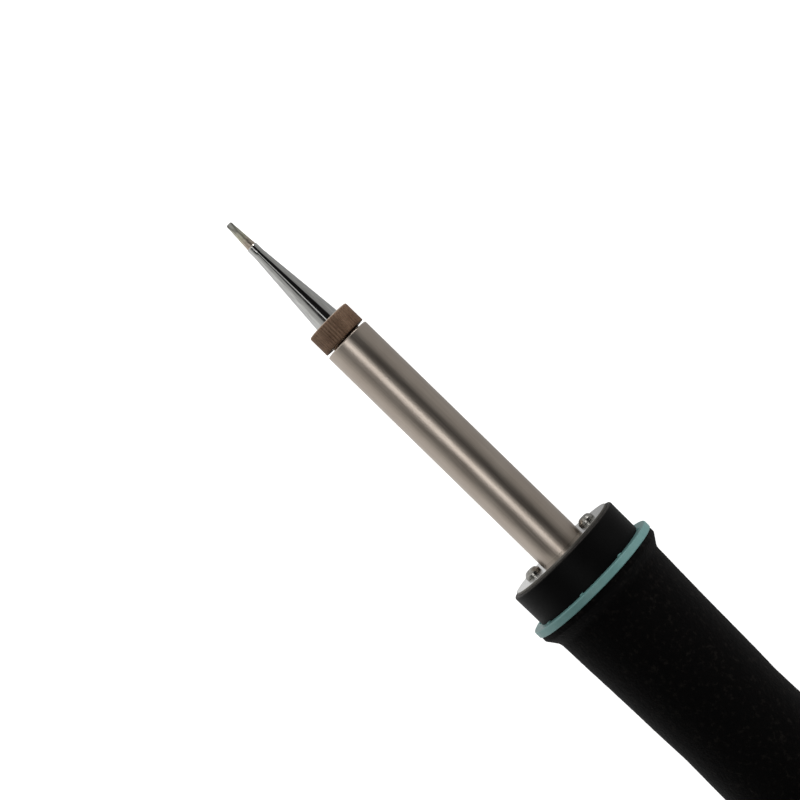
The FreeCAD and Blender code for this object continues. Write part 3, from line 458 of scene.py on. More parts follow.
nut = {
    "grooves": 48, "grooveDepth": 0.16, "grooveWidth": 0.5,
    "rim": 0.5, "rearRim": 0.15,  # rounding of the outer rims
    "wall": 1.1, "mouth": 3.65, "bore": 4.31,
    "steps": 12,                 # points drawn for each groove
    "bright": 0.12, "highlightRim": 0.9, "shadeRim": 0.8,   # widths of the painted glint on the front edge, the painted highlight on the front rim and the painted shade on the rear rim
    "grooveEdge": 0.3,           # depth over which a groove runs out
    "fine": 0.35, "fineDepth": 0.03, "fineBump": 0.4, "grimeShare": 0.45,
    "glintTone": "#C9BCB0",
    "steel": {
        "colour": "#8F7561", "metallic": 0.55, "roughness": 0.48,
        "patch": 2.2, "tones": [(0.3, "#8A6E5A"), (0.5, "#9B7F69"), (0.7, "#AC907A")],
    },
    "gloss": (0.42, 0.58),
}

# Steel browned by heat, straight-knurled: brown with lighter crests and dark grooves, a painted highlight on
# the front rim and painted shade on the rear rim.
browned = newMaterial("heatBrownedSteel", nut["steel"])
tree, place = browned.tree, browned.place
fine = addNode(tree, "ShaderNodeTexNoise", {
    "Scale": perMetre(nut["fine"]), "Detail": 2, "Roughness": usualNoise,
}, {"Vector": place})
fineTone = addNode(tree, "ShaderNodeValToRGB", None, {"Fac": fine}, [(0.32, "#A0968C"), (0.6, "#FFFFFF")])
grime = addNode(tree, "ShaderNodeMix", {"Factor": nut["grimeShare"]},
                {"A": browned.tones, "B": fineTone}, data_type="RGBA", blend_type="MULTIPLY")
lengthwise = addNode(tree, "ShaderNodeSeparateXYZ", None, {"Vector": place}).outputs["X"]
nutStart, nutEnd = front("tip_nut"), rear("tip_nut")
alongNut = addNode(tree, "ShaderNodeMapRange", {"From Min": nutStart, "From Max": nutEnd},
                   {"Value": lengthwise})
share = mm / (nutEnd - nutStart)
# painted highlight lightens the front rim and painted shade darkens the rear rim
rimLightAndShade = addNode(tree, "ShaderNodeValToRGB", None, {"Fac": alongNut}, [
    (0.0, "#FFFFFF"), (nut["highlightRim"] * share, "#D6D2CE"), (1 - nut["shadeRim"] * share, "#D2CCC6"),
    (1.0, "#B4AAA2"),
])
paintedRim = addNode(tree, "ShaderNodeMix", {"Factor": 1}, {"A": grime, "B": rimLightAndShade},
               data_type="RGBA", blend_type="MULTIPLY")
# painted reflection: a pale band along the nut's front edge
glintMask = addNode(tree, "ShaderNodeMapRange", {
    "From Min": nutStart + nut["bright"] * mm, "From Max": nutStart + nut["bright"] * 2 * mm,
    "To Min": 1.0, "To Max": 0.0,
}, {"Value": lengthwise})
feed(browned, "Base Color", addNode(tree, "ShaderNodeMix", {"B": hexColour(nut["glintTone"])},
                                    {"Factor": glintMask, "A": paintedRim}, data_type="RGBA"))
feed(browned, "Roughness", addNode(tree, "ShaderNodeMapRange", {
    "From Min": noiseLow, "From Max": noiseHigh, "To Min": nut["gloss"][0], "To Max": nut["gloss"][1],
}, {"Value": browned.patch}))
feed(browned, "Normal", addNode(tree, "ShaderNodeBump", {
    "Distance": nut["fineDepth"] * mm, "Strength": nut["fineBump"],
}, {"Height": fine}))

nutRadius, nutLength = radiusOf("tip_nut"), lengthOf("tip_nut")


def shapeNut(x, out, angle):
    foot = nutRadius - nut["rim"] - nut["grooveEdge"]
    if out < foot:
        return out
    turn = (angle * nut["grooves"] / math.tau) % 1
    aside = min(turn, 1 - turn) * math.tau * nutRadius / nut["grooves"]
    groove = max(0, 1 - aside / (nut["grooveWidth"] / 2))
    return out - nut["grooveDepth"] * groove * min(1, (out - foot) / nut["grooveEdge"])


nutLine = softOutline([
    (0, nut["mouth"], 0.15),
    (0, nutRadius, nut["rim"]),
    (nutLength, nutRadius, nut["rearRim"]),
    (nutLength, nut["bore"], 0.15),
    (nut["wall"], nut["bore"]),
    (nut["wall"], nut["mouth"]),
], closed=True)
turned("retainingNut", nutStart, densified(nutLine, 0.6, True), turns=nut["grooves"] * nut["steps"],
       reshape=shapeNut, body="nut", node="tip_nut", material=browned.material,
       sharpAngle=60)
print("nut made")


neck = {
    "pitch": 1.0, "threadDepth": 0.42,
    "bore": 2.98, "sleeveBore": 3.33,
    "barrelLip": 0.5, "radius": 4.25, "runIn": 0.4, "runOut": 0.3, "step": 0.08,
    "sleeveSeat": 2.5,
    "steel": {
        "colour": "#8C7A69", "metallic": 1, "roughness": 0.3,
        "patch": 0.8, "tones": [(0.3, "#AC9784"), (0.7, "#DCCAB8")],
        "grain": 0.3, "grainDetail": 2, "gloss": (0.22, 0.4),
    },
}

# Turned steel, browned by heat: a fine thread with bright crests.
neckSteel = newMaterial("threadedNeckSteel", neck["steel"])

neckFront = front("barrel_nose")
neckLength = (front("barrel_tube") - neckFront) / mm + neck["barrelLip"]
plugRadius = radiusOf("barrel_nose")
noseLength = lengthOf("barrel_nose")


def shapeNeck(x, out, angle):
    if out < neck["radius"] - slight or x > neckLength - neck["runIn"]:
        return out
    turn = (x / neck["pitch"] - angle / math.tau) % 1
    ridge = abs(2 * turn - 1)
    fade = min(1, max(0, x / neck["runIn"]), max(0, (neckLength - neck["runIn"] - x) / neck["runOut"]))
    return out - neck["threadDepth"] * (1 - ridge) * fade


neckLine = [Vector((0, neck["bore"]))]
neckSteps = round(neckLength / neck["step"])
neckLine += [Vector((neckLength * k / neckSteps, neck["radius"])) for k in range(neckSteps + 1)]
neckLine += [Vector(p) for p in (
    (neckLength, plugRadius), (noseLength, plugRadius), (noseLength, neck["sleeveBore"]),
    (noseLength - neck["sleeveSeat"], neck["sleeveBore"]), (noseLength - neck["sleeveSeat"], neck["bore"]),
)]
turned("threadedNeck", neckFront, neckLine, turns=96, reshape=shapeNeck,
       node="barrel_nose", material=neckSteel.material)
print("neck made")


barrel = {
    "lip": 0.5, "lipBore": 4.25, "wall": 0.4, "rim": 0.35,
    "tail": 2.95, "tailRadius": 5.95,
    "steel": {
        "colour": "#B9ADA3", "metallic": 1, "roughness": 0.35,
        "patch": 9, "tones": [(0.3, "#B9ADA2"), (0.7, "#C2B7AC")],
        "grain": 0.3, "drawn": (0.02, 1, 1),     # real marks are under 0.1 mm, drawn coarser
        "gloss": (0.32, 0.4), "depth": 0.01, "bump": 0.25,
    },
    "markShare": 0.5,
}

# Satin-drawn stainless steel: soft long highlights, fine streaks along the tube.
satin = newMaterial("satinStainless", barrel["steel"])
marks = addNode(satin.tree, "ShaderNodeValToRGB", None, {"Fac": satin.grain},
                [(noiseLow, "#D8D6D3"), (noiseHigh, "#FFFFFF")])
feed(satin, "Base Color", addNode(
    satin.tree, "ShaderNodeMix", {"Factor": barrel["markShare"]}, {"A": satin.tones, "B": marks},
    data_type="RGBA", blend_type="MULTIPLY"))

barrelRadius = radiusOf("barrel_tube")
barrelLength = lengthOf("barrel_tube")
bore = barrelRadius - barrel["wall"]
barrelEnd = barrelLength - barrel["tail"]
barrelLine = softOutline([
    (0, barrel["lipBore"], 0.1),
    (0, barrelRadius, barrel["rim"]),
    (barrelEnd, barrelRadius),
    (barrelEnd, barrel["tailRadius"]),
    (barrelLength, barrel["tailRadius"]),
    (barrelLength, bore),
    (barrel["lip"], bore),
    (barrel["lip"], barrel["lipBore"]),
], closed=True)
turned("barrelTube", front("barrel_tube"), barrelLine, turns=192,
       node="barrel_tube", material=satin.material)
print("barrel made")


plate = {
    "rim": 0.03,
    "edge": 0.25,                # width of the dulled band along the cut edge
    "cut": "#7B7872", "cutGloss": 0.55,
    "zinc": {
        "colour": "#B0B0AD", "metallic": 1, "roughness": 0.18,
        "patch": 3, "patchDetail": 4, "tones": [(0.3, "#A3A39F"), (0.7, "#B9B8B4")],
        "grain": 0.6, "grainDetail": 2, "gloss": (0.14, 0.22),
    },
}

# Bright zinc-plated sheet steel: pale, slightly clouded, dull and dark along its cut edge.
zinc = newMaterial("zincPlatedSheet", plate["zinc"])
cutEdge = addNode(zinc.tree, "ShaderNodeAttribute", attribute_name="mark").outputs["Fac"]
feed(zinc, "Base Color", addNode(zinc.tree, "ShaderNodeMix", {"B": hexColour(plate["cut"])},
                                 {"Factor": cutEdge, "A": zinc.tones}, data_type="RGBA"))
feed(zinc, "Roughness", addNode(zinc.tree, "ShaderNodeMix", {"B": plate["cutGloss"]},
                                {"Factor": cutEdge, "A": zinc.gloss}, data_type="FLOAT"))

plateRadius, plateThickness = radiusOf("mounting_flange"), lengthOf("mounting_flange")


def markEdge(x, out, angle):
    return 1 if out > plateRadius - plate["edge"] / 2 else 0


turned("flangePlate", front("mounting_flange"), softOutline([
    (0, plateRadius - plate["edge"]),
    (0, plateRadius, plate["rim"]),
    (plateThickness, plateRadius, plate["rim"]),
    (plateThickness, barrel["tailRadius"]),
    (0, barrel["tailRadius"]),
    (0, barrelRadius),
], closed=True), node="mounting_flange", material=zinc.material, mark=markEdge)


panScrew = {
    "headRound": 0.9, "recessHalf": 1.2, "recessSlot": 0.28, "recessDepth": 0.95,
    "domeRound": 0.8, "rimRound": 0.3, "underRound": 0.12, "crown": 0.9,
    "recessAbove": 0.5, "recessMouth": 1.15, "recessFloor": 0.45,
    "turns": 64,
    "steel": {
        "colour": "#9C9A95", "metallic": 1, "roughness": 0.25,
        "patch": 0.9, "tones": [(0.3, "#84827D"), (0.7, "#ADABA6")],
        "grain": 0.4, "grainDetail": 2, "gloss": (0.18, 0.36),
    },
}
flangeScrew = {"head": 2.1, "height": 1.6, "shank": 1.09, "length": 12.0, "turn": 7, "recessTurn": 0.6}

# Plated steel screws: bright rounded heads with small dark cross recesses.
screwSteel = newMaterial("platedScrewSteel", panScrew["steel"])


def screwPiece(name, seat, outward, upward, look, node):
    # a domed head with a cross recess; seat is the point under the head, outward the way it faces
    outward, upward = outward.normalized(), upward.normalized()
    sideways = upward.cross(outward)
    frameOf = Matrix((
        (sideways.x, upward.x, outward.x, seat.x),
        (sideways.y, upward.y, outward.y, seat.y),
        (sideways.z, upward.z, outward.z, seat.z),
        (0, 0, 0, 1),
    ))
    head, height, shank, length = (look[key] for key in ("head", "height", "shank", "length"))
    headRound = panScrew["headRound"]
    dome = softOutline([
        (-length, 0), (-length, shank, panScrew["rimRound"]), (0, shank), (0, head, panScrew["underRound"]),
        (height - headRound, head, panScrew["rimRound"]),
        (height, head - headRound * panScrew["crown"], panScrew["domeRound"]),
        (height, 0),
    ])
    bm = bmesh.new()
    angles = [math.tau * k / panScrew["turns"] for k in range(panScrew["turns"])]
    skinRings(bm, [[bm.verts.new(Vector((out * math.cos(angle), out * math.sin(angle), x)) * mm)
                    for angle in angles] for x, out in dome])
    bmesh.ops.transform(bm, matrix=frameOf, verts=bm.verts)
    piece = finished(name, bm, screwSteel.material)
    cutters = []
    half, slotHalf = panScrew["recessHalf"], panScrew["recessSlot"]
    levels = (
        (height + panScrew["recessAbove"], panScrew["recessMouth"]),
        (height - panScrew["recessDepth"], panScrew["recessFloor"]),
    )
    for a, b in ((half, slotHalf), (slotHalf, half)):
        bm = bmesh.new()
        corners = []
        for z, shrink in levels:
            wide = a * (shrink if a > b else 1)
            tall = b * (shrink if b > a else 1)
            corners += [bm.verts.new(Vector((sx * wide, sy * tall, z)) * mm)
                        for sx, sy in ((1, 1), (-1, 1), (-1, -1), (1, -1))]
        for ids in ((0, 1, 2, 3), (7, 6, 5, 4), (0, 4, 5, 1), (1, 5, 6, 2), (2, 6, 7, 3), (3, 7, 4, 0)):
            bm.faces.new([corners[i] for i in ids])
        bmesh.ops.recalc_face_normals(bm, faces=bm.faces)
        bmesh.ops.transform(bm, matrix=frameOf, verts=bm.verts)
        cutters.append(finished(name + "Cutter", bm))
    cutAway(piece, cutters)
    settle(piece, "iron", node)


screwTurn = math.radians(flangeScrew["turn"])
screwOut = (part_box("flange_screws")[1][1] - axisY) / mm - flangeScrew["head"]    # measured along Y
for name, sign in (("flangeScrewOne", 1), ("flangeScrewTwo", -1)):
    outY = sign * screwOut * mm
    seat = Vector((front("mounting_flange"), axisY + outY, axisZ + outY * math.tan(screwTurn)))
    recess = flangeScrew["recessTurn"] * sign
    screwPiece(name, seat, Vector((-1, 0, 0)), Vector((0, math.cos(recess), math.sin(recess))),
               flangeScrew, "flange_screws")
print("flange made")


collar = {
    "frontRadius": 15.93, "rearRadius": 15.84, "rim": 0.45, "wall": 3.0,
    "bore": 6.25, "bossBore": 13.0,
    "paintedRim": 0.35,                # width of the painted highlight on the front rim
    "paintedRimFade": 0.6,             # share of that width that the painted highlight covers fully
    "paintedRimPatch": 0.8, "paintedRimTones": [(0.3, "#262423"), (0.7, "#383533")],
    "plastic": {
        "colour": "#060606", "roughness": 0.5, "ior": 1.53, "specular": 0.06,
        "patch": 6, "tones": [(0.3, "#050505"), (0.7, "#080808")],
        "grain": 0.45,           # real spark-eroded grain is near 0.1 mm, drawn coarser
        "gloss": (0.44, 0.56), "depth": 0.02, "bump": 0.35,
    },
}

# Black glass-filled nylon, moulded: satin, faintly grained, soft grey highlights on its edges, the one on the
# front rim painted into its colour.
collarPlastic = newMaterial("blackMouldedNylon", collar["plastic"])
tree, place = collarPlastic.tree, collarPlastic.place
lengthwise = addNode(tree, "ShaderNodeSeparateXYZ", None, {"Vector": place}).outputs["X"]
# painted highlight: the front rim's colour is lifted to grey
paintedRim = addNode(tree, "ShaderNodeMapRange", {
    "From Min": front("front_collar") + collar["paintedRim"] * collar["paintedRimFade"] * mm,
    "From Max": front("front_collar") + collar["paintedRim"] * mm,
    "To Min": 1.0, "To Max": 0.0,
}, {"Value": lengthwise})
paintedRimPatch = addNode(tree, "ShaderNodeTexNoise", {
    "Scale": perMetre(collar["paintedRimPatch"]), "Detail": 3, "Roughness": usualNoise,
}, {"Vector": place})
paintedRimTone = addNode(tree, "ShaderNodeValToRGB", None, {"Fac": paintedRimPatch}, collar["paintedRimTones"])
feed(collarPlastic, "Base Color", addNode(
    tree, "ShaderNodeMix", None, {"Factor": paintedRim, "A": collarPlastic.tones, "B": paintedRimTone},
    data_type="RGBA"))

collarLength = lengthOf("front_collar")
turned("frontCollar", front("front_collar"), softOutline([
    (0, collar["bore"], 0.2),
    (0, collar["frontRadius"], collar["rim"]),
    (collarLength, collar["rearRadius"], 0.1),
    (collarLength, collar["bossBore"]),
    (collar["wall"], collar["bossBore"]),
    (collar["wall"], collar["bore"]),
], closed=True, steps=10), turns=192, node="front_collar",
   material=collarPlastic.material)
print("collar made")


ring = {
    "rim": 0.4, "bore": 13.0, "teeth": 8, "firstTooth": 15, "toothFoot": 15.94,
    "toothHeight": 0.8, "toothWidth": 1.0, "toothDepth": 0.35, "toothRound": 0.12,
    "toothSink": 0.05, "toothSegments": 3,
    "plastic": {
        "colour": "#6E9A98", "roughness": 0.42, "ior": 1.53, "specular": 0.4,
        "patch": 4, "tones": [(0.3, "#618A88"), (0.7, "#6D9795")],
        "grain": 0.4,            # near 0.1 mm in truth, drawn coarser
        "gloss": (0.36, 0.5), "depth": 0.02, "bump": 0.35,
    },
}

# Blue-green moulded nylon: satin, a little chalky, paler where light grazes the rim.
ringPlastic = newMaterial("tealMouldedNylon", ring["plastic"])

ringFront = rear("front_collar")
ringThickness = (rear("guard_ring") - ringFront) / mm
ringRadius = radiusOf("guard_ring")
turned("guardRing", ringFront, softOutline([
    (0, ring["bore"]),
    (0, ringRadius, ring["rim"]),
    (ringThickness, ringRadius, ring["rim"]),
    (ringThickness, ring["bore"]),
], closed=True), turns=224, node="guard_ring", material=ringPlastic.material)

toothMesh = bmesh.new()
for k in range(ring["teeth"]):
    angle = math.radians(90 + ring["firstTooth"] + 360 * k / ring["teeth"])
    outward = Vector((0, math.cos(angle), math.sin(angle)))
    across = Vector((0, -math.sin(angle), math.cos(angle)))
    middle = Vector((ringFront, axisY, axisZ)) + outward * (ring["toothFoot"] + ring["toothHeight"] / 2) * mm
    for vert in bmesh.ops.create_cube(toothMesh, size=1)["verts"]:
        x, y, z = vert.co
        vert.co = (middle + Vector((-1, 0, 0)) * ((x + 0.5) * ring["toothDepth"] - ring["toothSink"]) * mm
                   + outward * y * ring["toothHeight"] * mm + across * z * ring["toothWidth"] * mm)
bmesh.ops.recalc_face_normals(toothMesh, faces=toothMesh.faces)
teeth = finished("ringTeeth", toothMesh, ringPlastic.material)
soft = teeth.modifiers.new("softEdges", "BEVEL")
soft.width, soft.segments = ring["toothRound"] * mm, ring["toothSegments"]
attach(teeth, "iron")
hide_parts("guard_ring")
print("guard ring made")


foam = {
    "lip": 18.1, "lipLength": 1.4, "flareLength": 4.3, "flareRadius": 16.05, "flareRound": 3.0,
    "waistAt": 45.0, "waist": 15.0, "rear": 15.9, "rearRound": 1.6,
    "flangeBore": 14.4, "flangeDepth": 2.0, "bore": 11.5,
    "cell": 0.9, "cellHeight": 0.05, "wave": 14, "waveHeight": 0.08,
    "skin": 0.2,                 # only points this far outside the flange's bore are uneven
    "pit": 0.6,                  # real cells are near 0.3 mm, drawn coarser
    "pitDepth": 0.12, "pitBump": 0.5,
    "rubber": {
        "colour": "#040303", "roughness": 0.8, "ior": 1.5, "specular": 0.03, "sheen": 0.04,
        "patch": 1.3, "patchDetail": 5, "patchNoise": 0.65,
        "tones": [(0.35, "#030303"), (0.55, "#050404"), (0.68, "#141210")],
        "grain": 0.5, "gloss": (0.7, 0.92),
    },
}

# Closed-cell rubber foam, skinned: deep matt black, slightly brown, with a fine pitted surface.
foamRubber = newMaterial("closedCellFoam", foam["rubber"])
pits = addNode(foamRubber.tree, "ShaderNodeTexVoronoi", {"Scale": perMetre(foam["pit"])},
               {"Vector": foamRubber.place}, feature="F1")
feed(foamRubber, "Normal", addNode(foamRubber.tree, "ShaderNodeBump", {
    "Distance": foam["pitDepth"] * mm, "Strength": foam["pitBump"],
}, {"Height": pits}))

foamLength = lengthOf("foam_grip")


def shapeFoam(x, out, angle):
    if out < foam["flangeBore"] + foam["skin"] or x < slight:
        return out
    at = Vector((x, out * math.cos(angle), out * math.sin(angle)))
    cell = noise.noise(at / foam["cell"]) * foam["cellHeight"]
    wave = noise.noise(at / foam["wave"]) * foam["waveHeight"]
    return out + cell + wave


foamLine = softOutline([
    (0, foam["flangeBore"]),
    (0, foam["lip"], 0.35),
    (foam["lipLength"], foam["lip"], 0.5),
    (foam["flareLength"], foam["flareRadius"], foam["flareRound"]),
    (foam["waistAt"], foam["waist"], 60),
    (foamLength, foam["rear"], foam["rearRound"]),
    (foamLength, foam["bore"]),
    (foam["flangeDepth"], foam["bore"]),
    (foam["flangeDepth"], foam["flangeBore"]),
], closed=True, steps=10)
grip = turned("foamGrip", front("foam_grip"), densified(foamLine, 0.45, True), turns=288,
              reshape=shapeFoam, node="foam_grip", material=foamRubber.material,
              sharpAngle=70)
print("grip made")


cap = {
    "round": 16.4, "footStart": 1.5, "footLength": 9.0, "footEdge": 0.6, "cornerRound": 2.0,
    "waist": 12.4, "waistLength": 2.5, "end": 9.6, "endRound": 1.8,
    "socket": 11.55, "socketDepth": 8.0, "cavity": 7.8, "endWall": 5.0, "seat": 6.05,
    "screwAt": 5.5, "screwSeat": 14.4, "screwHole": 2.75, "holePast": 1, "holeTurns": 64,
    "plastic": {
        "colour": "#0E0E0E", "roughness": 0.4, "ior": 1.53, "specular": 0.25,
        "patch": 7, "tones": [(0.3, "#0C0C0C"), (0.7, "#111111")],
        "grain": 0.5,            # near 0.1 mm in truth, drawn coarser
        "gloss": (0.34, 0.48), "depth": 0.02, "bump": 0.35,
    },
}
capScrew = {"head": 2.6, "height": 1.6, "shank": 1.4, "length": 4.6, "recessTurn": 0.4}

# Black moulded nylon: a little glossier than the collar, with clear grey highlights on its corners.
capPlastic = newMaterial("blackMouldedCap", cap["plastic"])

capFront, capLength = front("rear_cap"), lengthOf("rear_cap")
flatRadius = ringRadius


def eightSides(angle):
    # distance to an eight-sided outline with rounded corners and its flats at the ring's radius
    half = math.pi / 8
    turn = abs((angle + half) % (2 * half) - half)
    middle = flatRadius - cap["cornerRound"]
    if turn < math.atan(middle * math.tan(half) / flatRadius):
        return flatRadius / math.cos(turn)
    aside = middle / math.cos(half) * math.sin(half - turn)
    return middle / math.cos(half) * math.cos(half - turn) + math.sqrt(cap["cornerRound"] ** 2 - aside ** 2)


def shapeCap(x, out, angle):
    if out <= cap["round"] + slight:
        return out
    target = eightSides(angle)
    return cap["round"] + (out - cap["round"]) * (target - cap["round"]) / (flatRadius - cap["round"])


footEnd = cap["footStart"] + cap["footLength"]
capLine = softOutline([
    (0, cap["socket"]),
    (0, cap["round"], 0.4),
    (cap["footStart"], cap["round"], 0.3),
    (cap["footStart"], flatRadius, cap["footEdge"]),
    (footEnd, flatRadius, cap["footEdge"]),
    (footEnd, cap["round"], 0.3),
    (footEnd + cap["waistLength"], cap["waist"], 2.5),
    (capLength, cap["end"], cap["endRound"]),
    (capLength, cap["seat"]),
    (capLength - cap["endWall"], cap["seat"]),
    (capLength - cap["endWall"], cap["cavity"]),
    (cap["socketDepth"], cap["cavity"]),
    (cap["socketDepth"], cap["socket"]),
], closed=True, steps=8)
capPiece = turned("rearCap", capFront, capLine, turns=256, reshape=shapeCap,
                  material=capPlastic.material)
angles = [math.tau * k / cap["holeTurns"] for k in range(cap["holeTurns"])]
holeTop = flatRadius + cap["holePast"]
cutters = []
for sign in (1, -1):
    bm = bmesh.new()
    skinRings(bm, [[bm.verts.new((
        capFront + (cap["screwAt"] + out * math.cos(angle)) * mm,
        axisY + sign * distance * mm,
        axisZ + out * math.sin(angle) * mm)) for angle in angles]
        for distance, out in ((cap["screwSeat"], 0), (cap["screwSeat"], cap["screwHole"]),
                              (holeTop, cap["screwHole"]), (holeTop, 0))])
    cutters.append(finished("capCutter", bm))
cutAway(capPiece, cutters)
settle(capPiece, "iron", "rear_cap")

for name, sign in (("capScrewOne", 1), ("capScrewTwo", -1)):
    seat = Vector((capFront + cap["screwAt"] * mm, axisY + sign * cap["screwSeat"] * mm, axisZ))
    recess = capScrew["recessTurn"]
    screwPiece(name, seat, Vector((0, sign, 0)), Vector((math.cos(recess), 0, math.sin(recess))),
               capScrew, "cap_screws")

bush = {
    "radius": 6.0, "flangeRadius": 7.6, "flange": 1.6, "edge": 0.6, "bore": 3.6, "mouth": 0.5,
    "rubber": {
        "colour": "#121212", "roughness": 0.6, "ior": 1.5,
        "patch": 2, "tones": [(0.3, "#101010"), (0.7, "#191918")],
        "grain": 0.5, "gloss": (0.52, 0.7),
    },
}

# Soft moulded PVC: dull black with a faint bloom.
bushRubber = newMaterial("softPvcBush", bush["rubber"])
bushLength = lengthOf("inlet_bush")
wallPart = bushLength - bush["flange"]
turned("inletBush", front("inlet_bush"), softOutline([
    (0, bush["bore"], 0.2),
    (0, bush["radius"], 0.2),
    (wallPart, bush["radius"]),
    (wallPart, bush["flangeRadius"], 0.15),
    (bushLength, bush["flangeRadius"], bush["edge"]),
    (bushLength, bush["bore"], bush["mouth"]),
], closed=True), turns=128, node="inlet_bush", material=bushRubber.material)
print("rear end made")


# For each slot: name, colour, metallic, roughness, grain in mm and its depth in mm.
inside = {
    "sensor_alloy": ("groundNickelIron", "#9C9A94", 1, 0.35, 0.5, 0.02),        # dull grey, ground
    "zinc_plate": ("insideZinc", "#B9B9B7", 1, 0.3, 1.0, 0.01),                 # pale and bright
    "screw_steel": ("insideScrewSteel", "#9C9A95", 1, 0.3, 0.8, 0.01),          # bright grey
    "browned_steel": ("insideBrownedSteel", "#725B49", 1, 0.4, 1.0, 0.02),      # brown and dull
    "stainless_tube": ("insideStainless", "#B4ABA1", 1, 0.3, 1.0, 0.01),        # warm satin grey
    "plated_cone": ("insideChrome", "#C2C2C0", 1, 0.1, 1.0, 0.005),             # mirror-bright
    "ceramic_white": ("steatiteCeramic", "#E6E0D2", 0, 0.6, 0.7, 0.03),         # chalky cream
    "resistance_wire": ("oxidisedNichrome", "#5C5552", 1, 0.5, 0.3, 0.02),      # dark dull grey
    "mica": ("layeredMica", "#B9AB8A", 0, 0.45, 1.5, 0.03),                     # pearly straw
    "lead_copper": ("tinnedCopperWire", "#B9A08C", 1, 0.3, 0.4, 0.01),          # silvery pink
    "magnet_grey": ("groundFerrite", "#4A4A4C", 0, 0.5, 0.5, 0.03),             # charcoal, ground
    "spring_steel": ("brightSpringSteel", "#A9A9AB", 1, 0.28, 0.4, 0.01),       # bright, drawn
    "contact_brass": ("brightBrass", "#C9A356", 1, 0.3, 0.6, 0.01),             # yellow and bright
    "switch_plastic": ("brownPhenolic", "#3A2A20", 0, 0.45, 0.9, 0.03),         # dark brown, satin
    "core_plastic": ("blackCoreNylon", "#161616", 0, 0.5, 0.6, 0.03),           # black, satin
    "collar_plastic": ("insideCollarNylon", "#141414", 0, 0.42, 0.5, 0.02),     # black, fine-grained
    "ring_plastic": ("insideRingNylon", "#4F6F6F", 0, 0.45, 0.5, 0.02),         # blue-green, satin
    "foam": ("insideFoam", "#0B0A09", 0, 0.85, 0.6, 0.05),                      # matt black, pitted
    "cap_plastic": ("insideCapNylon", "#151515", 0, 0.45, 0.5, 0.02),           # black, satin
    "bush_rubber": ("insideBush", "#121212", 0, 0.6, 0.5, 0.02),                # dull black
}
insideGloss = (-0.06, 0.08)      # how far the roughness strays either way
insideBump = 0.5
slotOf = {row["node"]: row["material_slot"] for row in frame["record"]["subparts"]}
made = {}
for nodeName, nodeObject in frame["nodes"].items():
    slotName = slotOf[nodeName]
    if slotName not in made:
        name, colour, metallic, rough, grain, depth = inside[slotName]
        made[slotName] = newMaterial(name, {
            "colour": colour, "metallic": metallic, "roughness": rough, "grain": grain,
            "gloss": [rough + stray for stray in insideGloss], "depth": depth, "bump": insideBump,
        }).material
    for materialSlot in nodeObject.material_slots:
        materialSlot.material = made[slotName]
print("inner pieces finished")


studio = {
    "floorSize": 24.0,
    "floor": "#F2F2F0", "floorRoughness": 0.8,
    "floorGlow": 0.85,           # a lit white table, as it is seen
    "nearGlow": 0.85,            # painted glow that the pieces see of it on the near side, standing in for lamp light there
    "farGlow": 0.43,             # and on the far side, dimmer as painted shade
    "turnOver": 15,
    "strip": {"length": 0.3, "width": 0.28, "place": (-0.07, -0.165, 0.9), "aimX": -0.07, "power": 0.86},
    "rearStrip": {"length": 0.55, "width": 0.28, "place": (0.355, -0.165, 0.9), "aimX": 0.355, "power": 0.68},
    "tipStrip": {"length": 0.3, "width": 0.12, "place": (-0.27, 0.0, 0.9), "aimX": -0.27, "power": 0.1},
    "tipSpark": {"length": 0.25, "width": 0.25, "place": (-0.83, 0.5, 0.22), "aimX": -0.1, "power": 1.6},
    "fill": {
        "length": 1.4, "width": 0.8, "place": (0.1, 1.2, 0.42), "aimX": 0.1, "power": 9.0,
        "mirrored": False,
    },
    "wallLean": 0.1226,          # the walls' shade follows Z and this much of Y
    "nearLift": 0.4, "nearDrift": 1.6,
    "nearWall": [
        (0.05, "#F5F5F3"), (0.35, "#DADAD8"), (0.43, "#CCCCCA"), (0.70, "#C0C0BE"), (0.80, "#B0B0AE"),
        (0.88, "#2C2C2C"),
    ],
    "farWall": [(0.0, "#B6B6B4"), (0.4, "#A6A6A4"), (0.68, "#9C9C9C"), (0.76, "#1C1C1C")],
    "wallTurn": 0.25,
}

floorMesh = bpy.data.meshes.new("floor")
half = studio["floorSize"] / 2
corners = [(-half, -half, 0), (half, -half, 0), (half, half, 0), (-half, half, 0)]
floorMesh.from_pydata(corners, [], [(0, 1, 2, 3)])
floor = bpy.data.objects.new("floor", floorMesh)
bpy.context.scene.collection.objects.link(floor)
# White laminate table top, lit evenly: no grain shows.
table = newMaterial("whiteTable", {"colour": studio["floor"], "roughness": studio["floorRoughness"]})
table.shader.inputs["Emission Color"].default_value = (1, 1, 1, 1)
table.shader.inputs["Emission Strength"].default_value = studio["floorGlow"]
tree = table.tree
acrossTable = addNode(tree, "ShaderNodeSeparateXYZ", None, {"Vector": table.place}).outputs["Y"]
# painted light and shade: for all but camera rays the table glows, brighter on the near side than on the far
# side
glow = addNode(tree, "ShaderNodeMapRange", {
    "From Min": -studio["turnOver"] * mm, "From Max": studio["turnOver"] * mm,
    "To Min": studio["nearGlow"], "To Max": studio["farGlow"],
}, {"Value": acrossTable}, interpolation_type="SMOOTHSTEP")
paintedGlow = addNode(tree, "ShaderNodeEmission", None, {"Strength": glow})
seen = addNode(tree, "ShaderNodeLightPath").outputs["Is Camera Ray"]
both = addNode(tree, "ShaderNodeMixShader", None, {0: seen, 1: paintedGlow, 2: table.shader})
tree.links.new(both.outputs[0], tree.nodes["Material Output"].inputs["Surface"])
floorMesh.materials.append(table.material)


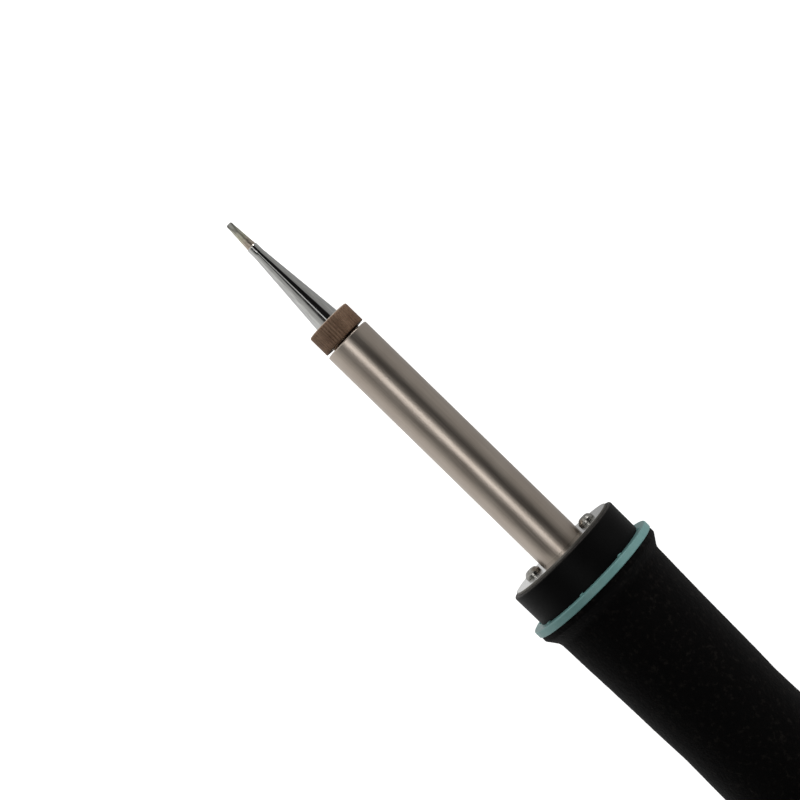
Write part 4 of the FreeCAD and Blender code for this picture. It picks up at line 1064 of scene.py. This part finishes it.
def softLight(name, look):
    data = bpy.data.lights.new(name, "AREA")
    data.shape = "RECTANGLE"
    data.size, data.size_y = look["length"], look["width"]
    data.energy = look["power"]
    light = bpy.data.objects.new(name, data)
    bpy.context.scene.collection.objects.link(light)
    place = Vector(look["place"])
    outward = (place - Vector((look["aimX"], axisY, axisZ))).normalized()
    lengthwise = (Vector((1, 0, 0)) - outward * outward.x).normalized()
    across = outward.cross(lengthwise)
    light.matrix_world = Matrix((
        (lengthwise.x, across.x, outward.x, place.x),
        (lengthwise.y, across.y, outward.y, place.y),
        (lengthwise.z, across.z, outward.z, place.z),
        (0, 0, 0, 1),
    ))
    light.visible_glossy = look.get("mirrored", True)


for name in ("strip", "rearStrip", "tipStrip", "tipSpark", "fill"):
    softLight(name + "Light", studio[name])

# A dark ceiling over the table and pale walls round it, brighter on the near side.
world = bpy.data.worlds.new("studio")
bpy.context.scene.world = world
world.use_nodes = True
tree = world.node_tree
background = tree.nodes["Background"]
way = addNode(tree, "ShaderNodeTexCoord").outputs["Generated"]
parts = addNode(tree, "ShaderNodeSeparateXYZ", None, {"Vector": way})
slant = addNode(tree, "ShaderNodeMath", {1: studio["wallLean"]},
                {0: parts.outputs["Y"], 2: parts.outputs["Z"]}, operation="MULTIPLY_ADD")
lifted = addNode(tree, "ShaderNodeMath", {1: studio["nearLift"]}, {0: slant}, operation="ADD")
nearSlant = addNode(tree, "ShaderNodeMath", {1: studio["nearDrift"]},
                    {0: parts.outputs["X"], 2: lifted}, operation="MULTIPLY_ADD")
nearSide = addNode(tree, "ShaderNodeValToRGB", None, {"Fac": nearSlant}, studio["nearWall"])
farSide = addNode(tree, "ShaderNodeValToRGB", None, {"Fac": slant}, studio["farWall"])
turn = addNode(tree, "ShaderNodeMapRange", {"From Min": -studio["wallTurn"], "From Max": studio["wallTurn"]},
               {"Value": parts.outputs["Y"]})
walls = addNode(tree, "ShaderNodeMix", None, {"Factor": turn, "A": nearSide, "B": farSide},
                data_type="RGBA")
tree.links.new(firstOutput(walls), background.inputs["Color"])
background.inputs["Strength"].default_value = 1.0
bpy.context.scene.view_settings.view_transform = "Standard"
print("studio made")
